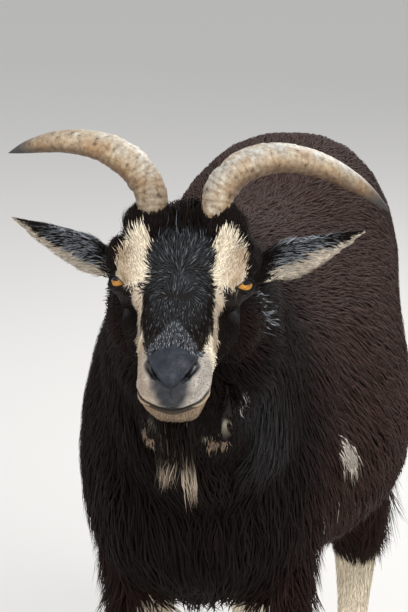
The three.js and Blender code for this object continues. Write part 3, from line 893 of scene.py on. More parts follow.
def build_horn(side_name):
    piece = copied(f"horn_{side_name}_sheath", [f"horn_{side_name}"])
    line = horn_line(side_name)
    points = corners(piece)
    share, run, _ = along_line(points, line)
    root = share < 0.03
    points[root] -= run[root] * HORN_ROOT * MM
    place_corners(piece, points)
    smoothed(piece, 3)
    points = corners(piece)
    share, _, inner = along_line(points, line)
    out = points - inner
    reach = np.linalg.norm(out, axis=1)
    away = out / np.maximum(reach, 1e-6)[:, None]
    far = share * HORN_BENDS[side_name][0]
    # Uneven growth rings, strongest near the root, over a lumpy, worn surface.
    phase = 1.4 * np.sin(far * 0.11) + 0.8 * np.sin(far * 0.037 + 1) + 0.9 * wavy(points, 0.05)
    fine = np.sin(far * 2 * math.pi / RING_GAP + phase)
    yearly = np.cos(far * 2 * math.pi / YEAR_GAP + 0.6 * phase) ** 14
    fade = (1 - smooth_step(0.35, 0.85, share)) * smooth_step(0.0, 0.05, share)
    swell = 0.32 * fine * fade * (0.5 + 0.7 * wavy(points, 0.03, 2.0)) - 0.7 * yearly * fade
    swell += (1.3 * wavy(points, 0.034, 1.0) + 0.45 * wavy(points, 0.012)) * (1 - share)
    middle_girth = smooth_step(0.12, 0.5, share) * (1 - smooth_step(0.80, 1.0, share))
    swell += (0.17 * middle_girth - 0.14 * (1 - smooth_step(0.03, 0.09, share))) * reach / MM
    place_corners(piece, points + away * (swell * MM)[:, None])
    keep(piece.data, "far", share)
    # How far up the surface faces; the material paints shade on the underside from it.
    keep(piece.data, "under", away[:, 2] * 0.5 + 0.5)
    keep(piece.data, "ring", fine * 0.5 + 0.5)
    keep(piece.data, "left", np.full(len(points), side_name == "left"))
    finish_piece(piece, material("goat_horn", horn_look), "horn", f"horn_{side_name}")


def build_eye(side_name):
    side = SIDES[side_name]
    centre = np.array(middle(f"eye_{side_name}"))
    bpy.ops.mesh.primitive_uv_sphere_add(segments=64, ring_count=40, radius=1)
    piece = bpy.context.active_object
    piece.name = f"eyeball_{side_name}"
    out = HEAD_TURN @ Vector((side * EYE_GAZE[0], EYE_GAZE[1], EYE_GAZE[2])).normalized()
    across = Vector((0, 0, 1)).cross(out).normalized()
    axes = np.array([across, out.cross(across), out])
    ray = corners(piece)
    off = np.hypot(ray[:, 0], ray[:, 1])
    cornea = 0.085 * (1 - smooth_step(0.35, 0.80, off)) * (ray[:, 2] > 0)
    radius = EYE_RADIUS * MM * (0.985 + cornea)
    place_corners(piece, centre + (ray @ axes) * radius[:, None])
    keep(piece.data, "gaze", ray)
    only(piece)
    bpy.ops.object.shade_smooth()
    finish_piece(piece, material("goat_eye", eye_look), "eye", f"eye_{side_name}")


def build_claws():
    for name in sorted(NODES):
        if "claw" not in name:
            continue
        piece = copied(name + "_horn", [name])
        low = corners(piece)[:, 2].min()
        smoothed(piece, 2)
        points = corners(piece)
        if "dewclaw" not in name:
            points[:, 2] = np.maximum(points[:, 2], low)
            flat = smooth_step(0.006, 0.0, points[:, 2])
            points[:, 2] *= 1 - flat
        place_corners(piece, points)
        finish_piece(piece, material("goat_claw", claw_look), "hoof", name)


# ------------------------------------------------------------------ coat
ROOT_DEPTH = 0.8  # how deep under the skin a tuft starts (mm)
BAKE_PATCH = 0.003  # a tuft's width on the bake map
BAKE_MARGIN = 0.004  # how far the map stays from the edges of the unit square


def lie_on(surface, points, height):
    """The nearest place on the skin to each point, raised by a height, and its normal."""
    placed = np.empty_like(points)
    normals = np.empty_like(points)
    for i, point in enumerate(points):
        near, normal, _, _ = surface.find_nearest(point)
        placed[i] = near
        normals[i] = normal
    return placed + normals * height[:, None], normals


def roots_on(skin, density, rng):
    """Random places on the skin, about density(points) tufts to the square metre."""
    mesh = skin.data
    mesh.calc_loop_triangles()
    corner = read(mesh.loop_triangles, "vertices", 3, int)
    points = corners(skin)
    normals = outward(skin)
    a, b, c = (points[corner[:, k]] for k in range(3))
    area = np.linalg.norm(np.cross(b - a, c - a), axis=1) / 2
    wanted = area * density((a + b + c) / 3)
    number = np.floor(wanted + rng.random(len(wanted))).astype(int)
    chosen = np.repeat(np.arange(len(number)), number)
    u, v = rng.random(len(chosen)), rng.random(len(chosen))
    flip = u + v > 1
    u[flip], v[flip] = 1 - u[flip], 1 - v[flip]
    share = np.stack([1 - u - v, u, v], axis=1)[:, :, None]
    spot, normal = ((rows[corner[chosen]] * share).sum(1) for rows in (points, normals))
    return spot, unit(normal)


def flattened(ways, normals):
    """The ways laid flat on a surface with these normals, as directions."""
    return unit(ways - normals * (ways * normals).sum(1, keepdims=True))


def gathered(points, group, strength):
    """Moves the points of each group towards their middle."""
    number = np.bincount(group)
    mean = np.stack([np.bincount(group, points[:, k]) / np.maximum(number, 1)
                     for k in range(3)], axis=1)
    return points + (mean[group] - points) * strength


def grow_tufts(surface, spot, normal, region, rng):
    """The rings of points of a closed, tapering, three-sided tuft at each root."""
    count = len(spot)
    lie, size = combed(spot)
    depth, length, width, lift = (size * MM).T
    length = length * rng.uniform(0.7, 1.25, count)
    width = width * rng.uniform(0.75, 1.25, count)
    lie = unit(lie) + 0.09 * rng.normal(size=(count, 3))
    lie += 0.20 * np.stack([wavy(spot, 0.11, phase) for phase in (0.3, 1.9, 3.1)], axis=1)
    heading = flattened(lie, normal)
    layer = rng.random(count)
    # The pale patches' hair is short and lies on top.
    patched = patches(spot) > 0.3
    length = np.where(patched, 0.5 * length, length)
    layer = np.where(patched, 1.15, layer)
    rise = lift * rng.random(count) ** 1.6
    shares = np.linspace(0, 1, region.rings + 1)
    tops = [(spot - normal * ROOT_DEPTH * MM, normal, heading)]
    if region.lock:
        cell = spot + 0.25 * region.lock * rng.normal(size=spot.shape)
        _, group = np.unique(np.floor(cell / region.lock), axis=0, return_inverse=True)
        group = group.ravel()
    ground = spot
    for previous, share in zip(shares, shares[1:]):
        ground = ground + heading * (length * (share - previous))[:, None]
        if region.lock:
            ground = gathered(ground, group, region.pull * share ** 2)
        raised = depth * (0.2 + 0.8 * layer) * math.sin(min(1, share * 1.6) * math.pi / 2)
        raised = raised + rise * share ** 2
        placed, facing = lie_on(surface, ground, raised)
        ground = placed - facing * raised[:, None]
        heading = flattened(heading, facing)
        tops.append((placed, facing, heading))
    return tops, width


def tuft_mesh(name, tops, width, uv, marks, chance, relief):
    """Joins all the tufts of a piece into one mesh with its attributes and its bake map.

    Relief, 0 to 1, says how sharply each tuft stands out in shape and in shade.
    """
    count = len(width)
    rings = len(tops) - 1
    girth = np.interp(np.linspace(0, 1, rings + 1)[:-1], [0, 0.35, 0.75, 1], [0.6, 1, 0.7, 0])
    points = []
    for k, (at, facing, heading) in enumerate(tops[:-1]):
        half = (width * girth[k] / 2)[:, None]
        side = unit(np.cross(heading, facing)) * half
        points += [at - side, at + side, at + facing * (half * (0.10 + 0.25 * relief))]
    points.append(tops[-1][0])
    per = len(points)
    last = per - 1
    vertices = np.stack(points, axis=1).reshape(-1, 3)
    faces = [(0, 1, 2)]
    for low in range(0, last, 3):
        for j in range(3):
            here, beside = low + j, low + (j + 1) % 3
            if low + 3 < last:
                faces += [(here, here + 3, beside), (beside, here + 3, beside + 3)]
            else:
                faces.append((here, last, beside))
    faces = np.array(faces)
    loops = (faces[None] + (np.arange(count) * per)[:, None, None]).reshape(-1)
    total = len(faces) * count
    mesh = bpy.data.meshes.new(name)
    mesh.vertices.add(len(vertices))
    mesh.vertices.foreach_set("co", vertices.ravel())
    mesh.loops.add(len(loops))
    mesh.loops.foreach_set("vertex_index", loops.astype(np.int32))
    mesh.polygons.add(total)
    mesh.polygons.foreach_set("loop_start", np.arange(total, dtype=np.int32) * 3)
    mesh.polygons.foreach_set("use_smooth", np.ones(total, bool))
    mesh.update(calc_edges=True)
    across = np.tile([0.0, 1.0, 0.5] * rings + [0.5], count)
    along = np.tile([*np.repeat(np.arange(rings) / rings, 3), 1.0], count)
    keep(mesh, "marks", np.stack([marks[k // 3] for k in range(per)], axis=1))
    keep(mesh, "chance", 0.5 + (np.repeat(chance, per) - 0.5) * relief)
    keep(mesh, "along", 0.6 + (along - 0.6) * relief)
    flat = np.repeat(uv, per, axis=0)
    flat = flat + np.stack([across - 0.5, along - 0.5], axis=1) * BAKE_PATCH
    bake = mesh.uv_layers.new(name="OFBake")
    bake.data.foreach_set("uv", flat[loops].ravel())
    mesh.validate()
    return show(name, mesh)


def unwrapped(spot, axis_start, axis_end):
    """A roll of the skin round an axis laid flat in the unit square."""
    start, end = np.array(axis_start, float), np.array(axis_end, float)
    axis = (end - start) / np.linalg.norm(end - start)
    off = spot - start
    v = off @ axis
    square = np.cross(axis, (0.3, 0.2, 0.93))  # a way that none of the axes runs along
    square /= np.linalg.norm(square)
    third = np.cross(axis, square)
    u = np.arctan2(off @ square, off @ third) / (2 * math.pi) + 0.5
    low, high = v.min(), v.max()
    flat = np.stack([u, (v - low) / max(high - low, 1e-6)], axis=1)
    return BAKE_MARGIN + (1 - 2 * BAKE_MARGIN) * flat


def bare_parts(head):
    """Where no hair grows: the nose pad, the lips' edges, the open eyes."""
    face = both_sides(head)
    y = face[:, 1]
    nose = (slate(head) > 0.5) & (y < -80)
    rise = above_mouth(face)
    mouth = (rise < 1.8) & (rise > np.where(y < -112, -4.5, -1.8)) & (y < -80)
    return nose | mouth | in_eye_opening(head, 4.5)


class Region(NamedTuple):
    """One piece of the coat."""
    density: float  # tufts to the square metre
    rings: int  # rings of points along a tuft, under its tip
    start: tuple  # the axis (m) that the bake map unrolls the skin round
    end: tuple
    lock: float = 0.0  # how wide a lock of hair is (m)
    pull: float = 0.0  # how far a lock's tufts run together
    slot: str = "coat_dark"
    relief: float = 1.0


BARREL = ((0.0, -0.2, 0.5), (0.0, 0.5, 0.5))
REGIONS = {
    "coat_face": Region(300000, 2, (0.02, -0.56, 0.62), (0.005, -0.36, 0.76)),
    "coat_crown": Region(190000, 3, (0.02, -0.50, 0.66), (0.0, -0.30, 0.72), 0.010, 0.35),
    "coat_ears": Region(420000, 2, (-0.15, -0.36, 0.74), (0.17, -0.34, 0.74)),
    "coat_throat": Region(130000, 3, (0.02, -0.46, 0.64), (0.0, -0.27, 0.50), 0.014, 0.4),
    "coat_neck": Region(110000, 3, (0.01, -0.34, 0.68), (-0.02, -0.14, 0.56), 0.020, 0.35,
                        relief=0.7),
    "coat_chest": Region(88000, 3, (0.0, -0.20, 0.60), (0.0, -0.20, 0.30), 0.022, 0.5, relief=0.7),
    "coat_left_back": Region(80000, 2, *BARREL, 0.022, 0.25, relief=0.12),
    "coat_left_side": Region(60000, 2, *BARREL, 0.026, 0.3, relief=0.35),
    "coat_right_back": Region(76000, 2, *BARREL, 0.022, 0.25, relief=0.12),
    "coat_right_side": Region(56000, 2, *BARREL, 0.026, 0.3, relief=0.35),
    "coat_fore_legs": Region(120000, 2, (0.0, -0.11, 0.4), (0.0, -0.11, 0.0), slot="coat_pale",
                             relief=0.7),
    "coat_hind_legs": Region(110000, 2, (0.0, 0.40, 0.4), (0.0, 0.40, 0.0), slot="coat_pale",
                             relief=0.7),
    "coat_tail": Region(90000, 4, (-0.02, 0.5, 0.7), (-0.02, 0.54, 0.5), 0.016, 0.4, relief=0.7),
}


BACK_Z = 0.56  # where the back's piece meets the side's
REAR_Y = 0.1  # legs behind here are hind legs


def region_of(points):
    """The name of the coat piece that each point belongs to."""
    head_x, head_y, head_z = both_sides(to_head(points)).T
    x, y, z = points.T
    names = np.full(len(points), "coat_left_side", dtype=object)
    names[z > BACK_Z] = "coat_left_back"
    right = x < BODY_MIDDLE_X
    names[right] = "coat_right_side"
    names[right & (z > BACK_Z)] = "coat_right_back"
    collar = 0.52 - 0.4 * (y + 0.10)
    names[(y < -0.10) & (z < collar) & (z > 0.28)] = "coat_chest"
    names[(y < -0.14) & (z >= collar)] = "coat_neck"
    legs = z < np.where(y < REAR_Y, 0.285, 0.30)
    names[legs & (y < REAR_Y)] = "coat_fore_legs"
    names[legs & (y >= REAR_Y)] = "coat_hind_legs"
    names[(y > 0.488) & (z > 0.5)] = "coat_tail"
    near_head = y < -0.315
    names[near_head] = "coat_throat"
    names[near_head & (head_z > -92)] = "coat_crown"
    names[near_head & (head_y < 46) & (head_z > -78) & (head_x < 74)] = "coat_face"
    names[near_head & (head_x > 78) & (head_z > -60)] = "coat_ears"
    return names


def crowding(points):
    """More tufts where the hair is short or parts: the whorl, the eyes and ahead of them, the
    muzzle, the pale patches and the fringe before the thigh."""
    head = to_head(points)
    whorl = np.linalg.norm(head - (4, -20, 19), axis=1)
    muzzle = smooth_step(-76, -90, head[:, 1]) * smooth_step(-75, -65, head[:, 2])
    more = np.maximum.reduce([1.6 * (1 - smooth_step(4, 14, whorl)),
                              1.2 * (1 - smooth_step(24, 32, from_eye(head)[1])), 0.6 * muzzle])
    parting = near_line(both_sides(head), (44, -16, -8), (52, -24, -18), 12, 6)
    aside = both_sides(points - np.array((BODY_MIDDLE_X, 0, 0)))
    thigh = near_line(aside / MM, (100, 350, 335), (104, 385, 290), 30, 15)
    return 1 + more + 1.5 * patches(points) + 1.8 * parting + 1.5 * thigh


def hair_marks(points, draw):
    """Each tuft takes one colour of the markings, so that their edges mix."""
    pale, grey, brown, dull, tan = markings(points)
    is_pale = pale > 0.38 + 0.24 * draw[:, 0]
    grey = (grey > draw[:, 1]) * (0.35 + 0.55 * smooth_step(0.15, 0.45, grey))
    # A faint grey over the hair: painted sheen on the face's middle and the neck, the hair's own
    # grey under the eyes.
    grey = np.maximum(grey, painted_sheen_and_grey(points))
    # Painted shade: the pale hair of the lower lip and chin is darker. The throat's pale patches
    # are darker too.
    throat = in_patch(patches(points)) * (points[:, 1] < THROAT_Y)
    paleness = is_pale * (1 - 0.45 * chin_share(to_head(points))) * (1 - 0.42 * throat)
    return paint(paleness, is_pale, (grey, brown), (dull, tan))


def finish_coat(name, tops, width, uv, marks, region, rng, *nodes):
    """Makes one piece of the coat from its tufts, each a little brighter or darker."""
    piece = tuft_mesh(name, tops, width, uv, marks, rng.random(len(width)), region.relief)
    finish_piece(piece, material("goat_coat", coat_look), region.slot, *nodes)


def build_coat():
    skin = bpy.data.objects["skin"]
    surface = BVHTree.FromPolygons([v.co for v in skin.data.vertices],
                                   [p.vertices for p in skin.data.polygons])
    fullness = bpy.context.scene.goat_coat.fullness
    for number, (name, region) in enumerate(REGIONS.items()):
        rng = np.random.default_rng(SEED + 7 * number)

        def wanted(points):
            grown = (region_of(points) == name) & ~bare_parts(to_head(points))
            return grown * region.density * fullness * crowding(points)

        spot, normal = roots_on(skin, wanted, rng)
        tops, width = grow_tufts(surface, spot, normal, region, rng)
        clear = ~np.any([in_eye_opening(to_head(top[0]), 1.5) for top in tops[1:]], axis=0)
        tops = [tuple(rows[clear] for rows in top) for top in tops]
        spot, width = spot[clear], width[clear]
        stray = rng.normal(size=spot.shape) * combed(spot)[1][:, 2:3] * MM * 0.9
        marks = hair_marks(spot + stray, rng.random((len(spot), 2)))
        uv = unwrapped(spot, region.start, region.end)
        finish_coat(name, tops, width, uv, [marks] * len(tops), region, rng)


# The beard hangs from under the chin to two tips: the tip (m), and its share of the hair.
BEARD_TIPS = [((0.009, -0.492, 0.531), 0.6), ((0.036, -0.494, 0.514), 0.4)]
BEARD_SPREAD = (6.0, 2.4)  # half widths of the two tips (mm)
BEARD_MIDDLE = (0.021, -0.46, 0.66)  # the hair bows out from here
BEARD_HAIRS = 900
BEARD = Region(400000.0, 5, (0.02, -0.49, 0.65), (0.03, -0.49, 0.52))


def build_beard():
    rng = np.random.default_rng(SEED)

    def chin(points):
        x, y, z = both_sides(to_head(points)).T
        return ((y < -72) & (y > -106) & (z < -58) & (x < 15)) * BEARD.density

    spot, _ = roots_on(bpy.data.objects["skin"], chin, rng)
    spot = spot[rng.permutation(len(spot))[:BEARD_HAIRS]]
    count = len(spot)
    first = rng.random(count) < BEARD_TIPS[0][1]
    aside = spot[:, 0] - BEARD_MIDDLE[0]
    first = np.where(np.abs(aside) > 0.008, aside < 0, first)
    tip = np.where(first[:, None], BEARD_TIPS[0][0], BEARD_TIPS[1][0])
    whole = rng.beta(4, 1.3, count)[:, None]
    spread = np.where(first, *BEARD_SPREAD)[:, None] * (MM, 0, 0) + (0, 4 * MM, 5 * MM)
    tip = tip + np.clip(rng.normal(size=(count, 3)), -1.6, 1.6) * spread
    tip = tip + (spot - tip) * (1 - whole)
    out = np.stack([aside, np.full(count, -0.03), np.zeros(count)], axis=1)
    facing = unit(out + 0.004 * rng.normal(size=(count, 3)))
    cream = rng.random(count) < 0.85
    gold = rng.random(count) < 0.10
    tops, marks = [], []
    for share in np.linspace(0, 1, BEARD.rings + 1):
        at = spot + (tip - spot) * share ** 1.1
        at[:, 1] = spot[:, 1] + (tip[:, 1] - spot[:, 1]) * share ** 0.7
        at += unit(spot - BEARD_MIDDLE) * math.sin(share * math.pi) * 5 * MM
        wave = 3.0 * MM * share * np.sin(6 * share + 700 * spot[:, :1])
        at += wave * np.array((1.0, 0.6, 0.0))
        tops.append((at, facing, np.tile((0.0, 0.0, -1.0), (count, 1))))
        pale = np.maximum(0.64 * cream * smooth_step(0.556, 0.545, at[:, 2]), 0.13 * gold)
        tan = np.where(pale > 0.1, 0.65, 0.12)
        marks.append(np.stack([pale, 0.15 * (pale > 0.5), tan, np.ones(count)], axis=1))
    width = 1.6 * MM * rng.uniform(0.6, 1.25, count) * np.where(gold, 0.6, 1.0)
    middles = spot + (tip - spot) * rng.random((count, 1))
    uv = unwrapped(middles, BEARD.start, BEARD.end)
    finish_coat("coat_beard", tops, width, uv, marks, BEARD, rng, "beard")


# ------------------------------------------------------------------ materials
def material(name, look):
    """The material of this name; the first time it is asked for, its look is made."""
    if name not in bpy.data.materials:
        made = bpy.data.materials.new(name)
        made.use_nodes = True
        look(made.node_tree, made.node_tree.nodes["Principled BSDF"])
    return bpy.data.materials[name]


def feed(tree, made, inputs):
    """Links inputs of a node to sockets of others, or sets them to values."""
    for name, value in inputs.items():
        if isinstance(value, bpy.types.NodeSocket):
            tree.links.new(value, made.inputs[name])
        else:
            made.inputs[name].default_value = value


def node(tree, kind, inputs=None, **settings):
    """Adds a node to a tree and gives its outputs."""
    made = tree.nodes.new(kind)
    for key, value in settings.items():
        setattr(made, key, value)
    feed(tree, made, inputs or {})
    return made.outputs


def maths(tree, operation, *values):
    return node(tree, "ShaderNodeMath", dict(enumerate(values)), operation=operation)[0]


def kept(tree, name, output="Fac"):
    """What keep() left on the vertices under this name."""
    return node(tree, "ShaderNodeAttribute", attribute_name=name)[output]


def noise(tree, place, scale, detail, roughness=0.5):
    inputs = {"Vector": place, "Scale": scale, "Detail": detail, "Roughness": roughness}
    return node(tree, "ShaderNodeTexNoise", inputs)["Fac"]


def ramp(tree, value, *stops):
    """A colour ramp through (place, colour) stops, where a number is a grey."""
    made = tree.nodes.new("ShaderNodeValToRGB")
    elements = made.color_ramp.elements
    while len(elements) < len(stops):
        elements.new(0.5)
    for element, (place, colour) in zip(elements, stops):
        element.position = place
        element.color = (*colour, 1) if isinstance(colour, tuple) else (colour,) * 3 + (1,)
    feed(tree, made, {0: value})
    return made.outputs[0]


def blend_colours(tree, share, first, second, kind="MIX"):
    first, second = ((*colour, 1) if isinstance(colour, tuple) else colour
                     for colour in (first, second))
    inputs = {0: share, 6: first, 7: second}
    return node(tree, "ShaderNodeMix", inputs, data_type="RGBA", blend_type=kind)[2]


def bumped(tree, height, distance, strength):
    inputs = {"Height": height, "Distance": distance, "Strength": strength}
    return node(tree, "ShaderNodeBump", inputs)[0]


HAIR_COLOURS = ("Dark", "Brown", "Grey", "Cream", "Tan", "Muzzle")


def colour_group():
    """The coat's colour from its markings: shared by the skin and every tuft."""
    if "coat_colours" in bpy.data.node_groups:
        return bpy.data.node_groups["coat_colours"]
    tree = bpy.data.node_groups.new("coat_colours", "ShaderNodeTree")
    kinds = {"Chance": "NodeSocketFloat", "Along": "NodeSocketFloat"}
    for name in ("Marks", "Chance", "Along", *HAIR_COLOURS):
        tree.interface.new_socket(name, in_out="INPUT",
                                  socket_type=kinds.get(name, "NodeSocketColor"))
    tree.interface.new_socket("Colour", in_out="OUTPUT", socket_type="NodeSocketColor")
    given = node(tree, "NodeGroupInput")
    pale, second, third = node(tree, "ShaderNodeSeparateColor", {0: given["Marks"]})
    dark = blend_colours(tree, third, given["Dark"], given["Brown"])
    dark = blend_colours(tree, second, dark, given["Grey"])
    light = blend_colours(tree, third, given["Cream"], given["Tan"])
    light = blend_colours(tree, second, light, given["Muzzle"])
    # Each tuft is a little brighter or darker than the next, and brighter to its tip.
    brightness = maths(tree, "MULTIPLY", *(
        node(tree, "ShaderNodeMapRange", {"Value": value, "To Min": low, "To Max": high})[0]
        for value, low, high in ((given["Chance"], 0.78, 1.22), (given["Along"], 0.8, 1.08))))
    inputs = {0: blend_colours(tree, pale, dark, light), "Scale": brightness}
    colour = node(tree, "ShaderNodeVectorMath", inputs, operation="SCALE")[0]
    node(tree, "NodeGroupOutput", {0: colour})
    return tree


def coat_colour(tree, chance, along):
    """Places the shared group in a material with the user's colours."""
    settings = bpy.context.scene.goat_coat
    inputs = {name: (*getattr(settings, name.lower()), 1) for name in HAIR_COLOURS}
    inputs |= {"Marks": kept(tree, "marks", "Color"), "Chance": chance, "Along": along}
    return node(tree, "ShaderNodeGroup", inputs, node_tree=colour_group())[0]


def coat_look(tree, shader):
    colour = coat_colour(tree, kept(tree, "chance"), kept(tree, "along"))
    feed(tree, shader, {"Base Color": colour, "Roughness": 0.72, "Specular IOR Level": 0.07})


def skin_look(tree, shader):
    """Hair's colours where the coat grows, dark leather where it doesn't, painted shade near black
    in the openings.
    """
    place = node(tree, "ShaderNodeTexCoord")["Object"]
    speck = noise(tree, place, 900, 2)
    mottle = noise(tree, place, 110, 3)
    pores = node(tree, "ShaderNodeTexVoronoi", {"Vector": place, "Scale": 650})["Distance"]
    leather = ramp(tree, mottle, (0.30, (0.010, 0.012, 0.016)),
                   (0.55, (0.022, 0.026, 0.034)), (0.75, (0.055, 0.054, 0.058)))
    bare = kept(tree, "bare")
    colour = blend_colours(tree, bare, coat_colour(tree, speck, speck), leather)
    # Painted shade darkens the openings nearly to black.
    colour = blend_colours(tree, kept(tree, "hollow"), colour, (0.004, 0.003, 0.0025))
    height = blend_colours(tree, bare, speck, pores)
    feed(tree, shader, {"Base Color": colour, "Specular IOR Level": 0.17,
                        "Roughness": ramp(tree, bare, (0.3, 0.75), (0.9, 0.42)),
                        "Normal": bumped(tree, height, 0.5 * MM, 0.5)})


def horn_look(tree, shader):
    """Blotched, worn horn: orange below and darkened there by painted shade, ringed and greyer
    near the root, dark at the tip.
    """
    place = node(tree, "ShaderNodeTexCoord")["Object"]
    far, under, ring, left = (kept(tree, name) for name in ("far", "under", "ring", "left"))
    mottle = noise(tree, place, 190, 7, 0.6)
    broad = noise(tree, place, 42, 4)
    grain = noise(tree, place, 420, 3)
    pits = noise(tree, place, 190, 4)
    colour = ramp(tree, mottle, (0.34, (0.240, 0.195, 0.150)), (0.46, (0.400, 0.350, 0.285)),
                  (0.56, (0.470, 0.430, 0.365)), (0.68, (0.610, 0.600, 0.560)))
    layers = [
        (0.75, ramp(tree, broad, (0.38, (0.78, 0.62, 0.45)), (0.50, (0.96, 0.94, 0.90)),
                    (0.62, (0.88, 0.93, 1.00)))),
        (0.85, ramp(tree, pits, (0.27, (0.20, 0.17, 0.15)), (0.35, 1.0))),
        (1.0, ramp(tree, left, (0.0, (0.97, 0.94, 0.87)), (1.0, (0.97, 0.98, 0.98)))),
        # Painted shade: darker and more orange where the surface faces down.
        (0.9, ramp(tree, under, (0.30, (0.36, 0.21, 0.10)), (0.54, (0.84, 0.68, 0.50)),
                   (0.84, 1.0))),
        (ramp(tree, far, (0.06, 0.9), (0.32, 0.45), (0.65, 0.08)),
         ramp(tree, ring, (0.08, (0.60, 0.52, 0.44)), (0.50, 1.0))),
        (ramp(tree, left, (0.0, 0.9), (1.0, 0.0)),
         ramp(tree, far, (0.03, (0.40, 0.41, 0.44)), (0.30, 1.0))),
        (0.85, ramp(tree, far, (0.66, 1.0), (0.88, (0.60, 0.60, 0.62)))),
    ]
    for share, layer in layers:
        colour = blend_colours(tree, share, colour, layer, "MULTIPLY")
    tip = ramp(tree, far, (0.82, 0), (0.92, 1))
    colour = blend_colours(tree, tip, colour, (0.035, 0.030, 0.028))
    relief = blend_colours(tree, 0.5, grain, pits)
    feed(tree, shader, {"Base Color": colour,
                        "Roughness": ramp(tree, grain, (0.3, 0.42), (0.7, 0.66)),
                        "Normal": bumped(tree, relief, 0.7 * MM, 0.7)})


def eye_look(tree, shader):
    """An amber iris with fine fibres and a dark rim, round a wide, level pupil."""
    x, y, _ = node(tree, "ShaderNodeSeparateXYZ", {0: kept(tree, "gaze", "Vector")})

    def fourth_power(value, size):
        share = maths(tree, "ABSOLUTE", maths(tree, "DIVIDE", value, size))
        return maths(tree, "POWER", share, 4.0)

    slot = maths(tree, "ADD", fourth_power(x, 0.44), fourth_power(y, 0.16))
    squares = [maths(tree, "MULTIPLY", value, value) for value in (x, y)]
    off = maths(tree, "SQRT", maths(tree, "ADD", *squares))
    polar = {0: maths(tree, "ARCTAN2", y, x), 1: maths(tree, "MULTIPLY", off, 0.6)}
    fibres = noise(tree, node(tree, "ShaderNodeCombineXYZ", polar)[0], 9, 4)
    amber = ramp(tree, fibres, (0.30, (0.33, 0.125, 0.024)),
                 (0.55, (0.62, 0.300, 0.058)), (0.75, (0.80, 0.49, 0.155)))
    edge = ramp(tree, off, (0.20, (0.55, 0.45, 0.40)), (0.45, 1),
                (0.74, (0.85, 0.75, 0.6)), (0.84, (0.03, 0.02, 0.02)))
    colour = blend_colours(tree, 1.0, amber, edge, "MULTIPLY")
    inside = ramp(tree, slot, (0.80, 1), (1.0, 0))
    colour = blend_colours(tree, inside, colour, (0.004, 0.005, 0.009))
    feed(tree, shader, {"Base Color": colour, "Roughness": 0.08, "Specular IOR Level": 0.2})


def claw_look(tree, shader):
    """Dark horn with blotches and level bands."""
    place = node(tree, "ShaderNodeTexCoord")["Object"]
    level = node(tree, "ShaderNodeMapping", {"Vector": place, "Scale": (0.15, 0.15, 1)})[0]
    colour = ramp(tree, noise(tree, place, 70, 4), (0.30, (0.030, 0.024, 0.020)),
                  (0.60, (0.085, 0.066, 0.050)), (0.80, (0.170, 0.135, 0.100)))
    feed(tree, shader, {"Base Color": colour, "Roughness": 0.5,
                        "Normal": bumped(tree, noise(tree, level, 260, 3), 0.6 * MM, 0.8)})


# ------------------------------------------------------------------ studio
CAMERA_AZIMUTH, CAMERA_ELEVATION = 11.5, 12  # degrees
CAMERA_DISTANCE = 4.6
CAMERA_AIM = (0.0211, 0.0221)  # how far right of the eyes' middle and below it the camera aims
CAMERA_LENS = 282
LAMPS = {  # the lamps' places, what they point at and their widths
    "key": ((1.6, -2.6, 2.8), (0, -0.2, 0.5), 1.6),
    "fill": ((-2.6, -2.2, 1.6), (0, -0.2, 0.5), 2.2),
    "back": ((0.8, 2.6, 2.6), (0, 0.1, 0.6), 1.8),
}


def floor_look(tree, shader):
    colour = bpy.context.scene.goat_stage.floor_colour
    feed(tree, shader, {"Base Color": (*colour, 1), "Roughness": 0.9})


def light_sky(strength):
    """A soft light from all round; the camera and reflections see a plain wall instead."""
    world = bpy.data.worlds.new("studio_world")
    world.use_nodes = True
    bpy.context.scene.world = world
    tree = world.node_tree
    tree.nodes.clear()
    sky = {"Color": (0.92, 0.95, 1.0, 1), "Strength": strength}
    light = node(tree, "ShaderNodeBackground", sky)[0]
    wall = node(tree, "ShaderNodeBackground", {"Color": (0.86, 0.85, 0.83, 1)})[0]
    rays = node(tree, "ShaderNodeLightPath")
    seen = rays["Is Camera Ray"]
    for ray in ("Is Glossy Ray", "Is Transmission Ray"):
        seen = maths(tree, "MAXIMUM", seen, rays[ray])
    mix = node(tree, "ShaderNodeMixShader", {0: seen, 1: light, 2: wall})[0]
    node(tree, "ShaderNodeOutputWorld", {0: mix})


def add_lamp(name, place, target, size, power):
    lamp = bpy.data.lights.new(name, "AREA")
    lamp.size = size
    lamp.energy = power
    holder = bpy.data.objects.new(name, lamp)
    bpy.context.scene.collection.objects.link(holder)
    holder.location = place
    holder.rotation_euler = (Vector(target) - Vector(place)).to_track_quat("-Z", "Y").to_euler()


def place_camera():
    scene = bpy.context.scene
    camera = bpy.data.cameras.new("camera")
    viewer = bpy.data.objects.new("camera", camera)
    scene.collection.objects.link(viewer)
    azimuth, elevation = math.radians(CAMERA_AZIMUTH), math.radians(CAMERA_ELEVATION)
    view = Vector((-math.sin(azimuth) * math.cos(elevation),
                   math.cos(azimuth) * math.cos(elevation), -math.sin(elevation)))
    right = Vector((math.cos(azimuth), math.sin(azimuth), 0))
    aim = EYES_MIDDLE + right * CAMERA_AIM[0] - right.cross(view) * CAMERA_AIM[1]
    viewer.location = aim - view * CAMERA_DISTANCE
    viewer.rotation_euler = view.to_track_quat("-Z", "Y").to_euler()
    camera.lens = CAMERA_LENS
    camera.sensor_fit = "VERTICAL"
    camera.sensor_height = 36
    camera.sensor_width = 24
    camera.clip_end = 50
    scene.camera = viewer
    scene.view_settings.view_transform = "Standard"


def build_stage():
    sizes = bpy.context.scene.goat_stage
    bpy.ops.mesh.primitive_plane_add(size=sizes.floor_size, location=(0, 0, 0))
    floor = bpy.context.active_object
    floor.name = "studio_floor"
    floor.data.materials.append(material("studio_floor", floor_look))
    light_sky(sizes.sky_strength)
    for name, (place, target, width) in LAMPS.items():
        add_lamp(f"{name}_light", place, target, width, getattr(sizes, f"{name}_power"))
    place_camera()


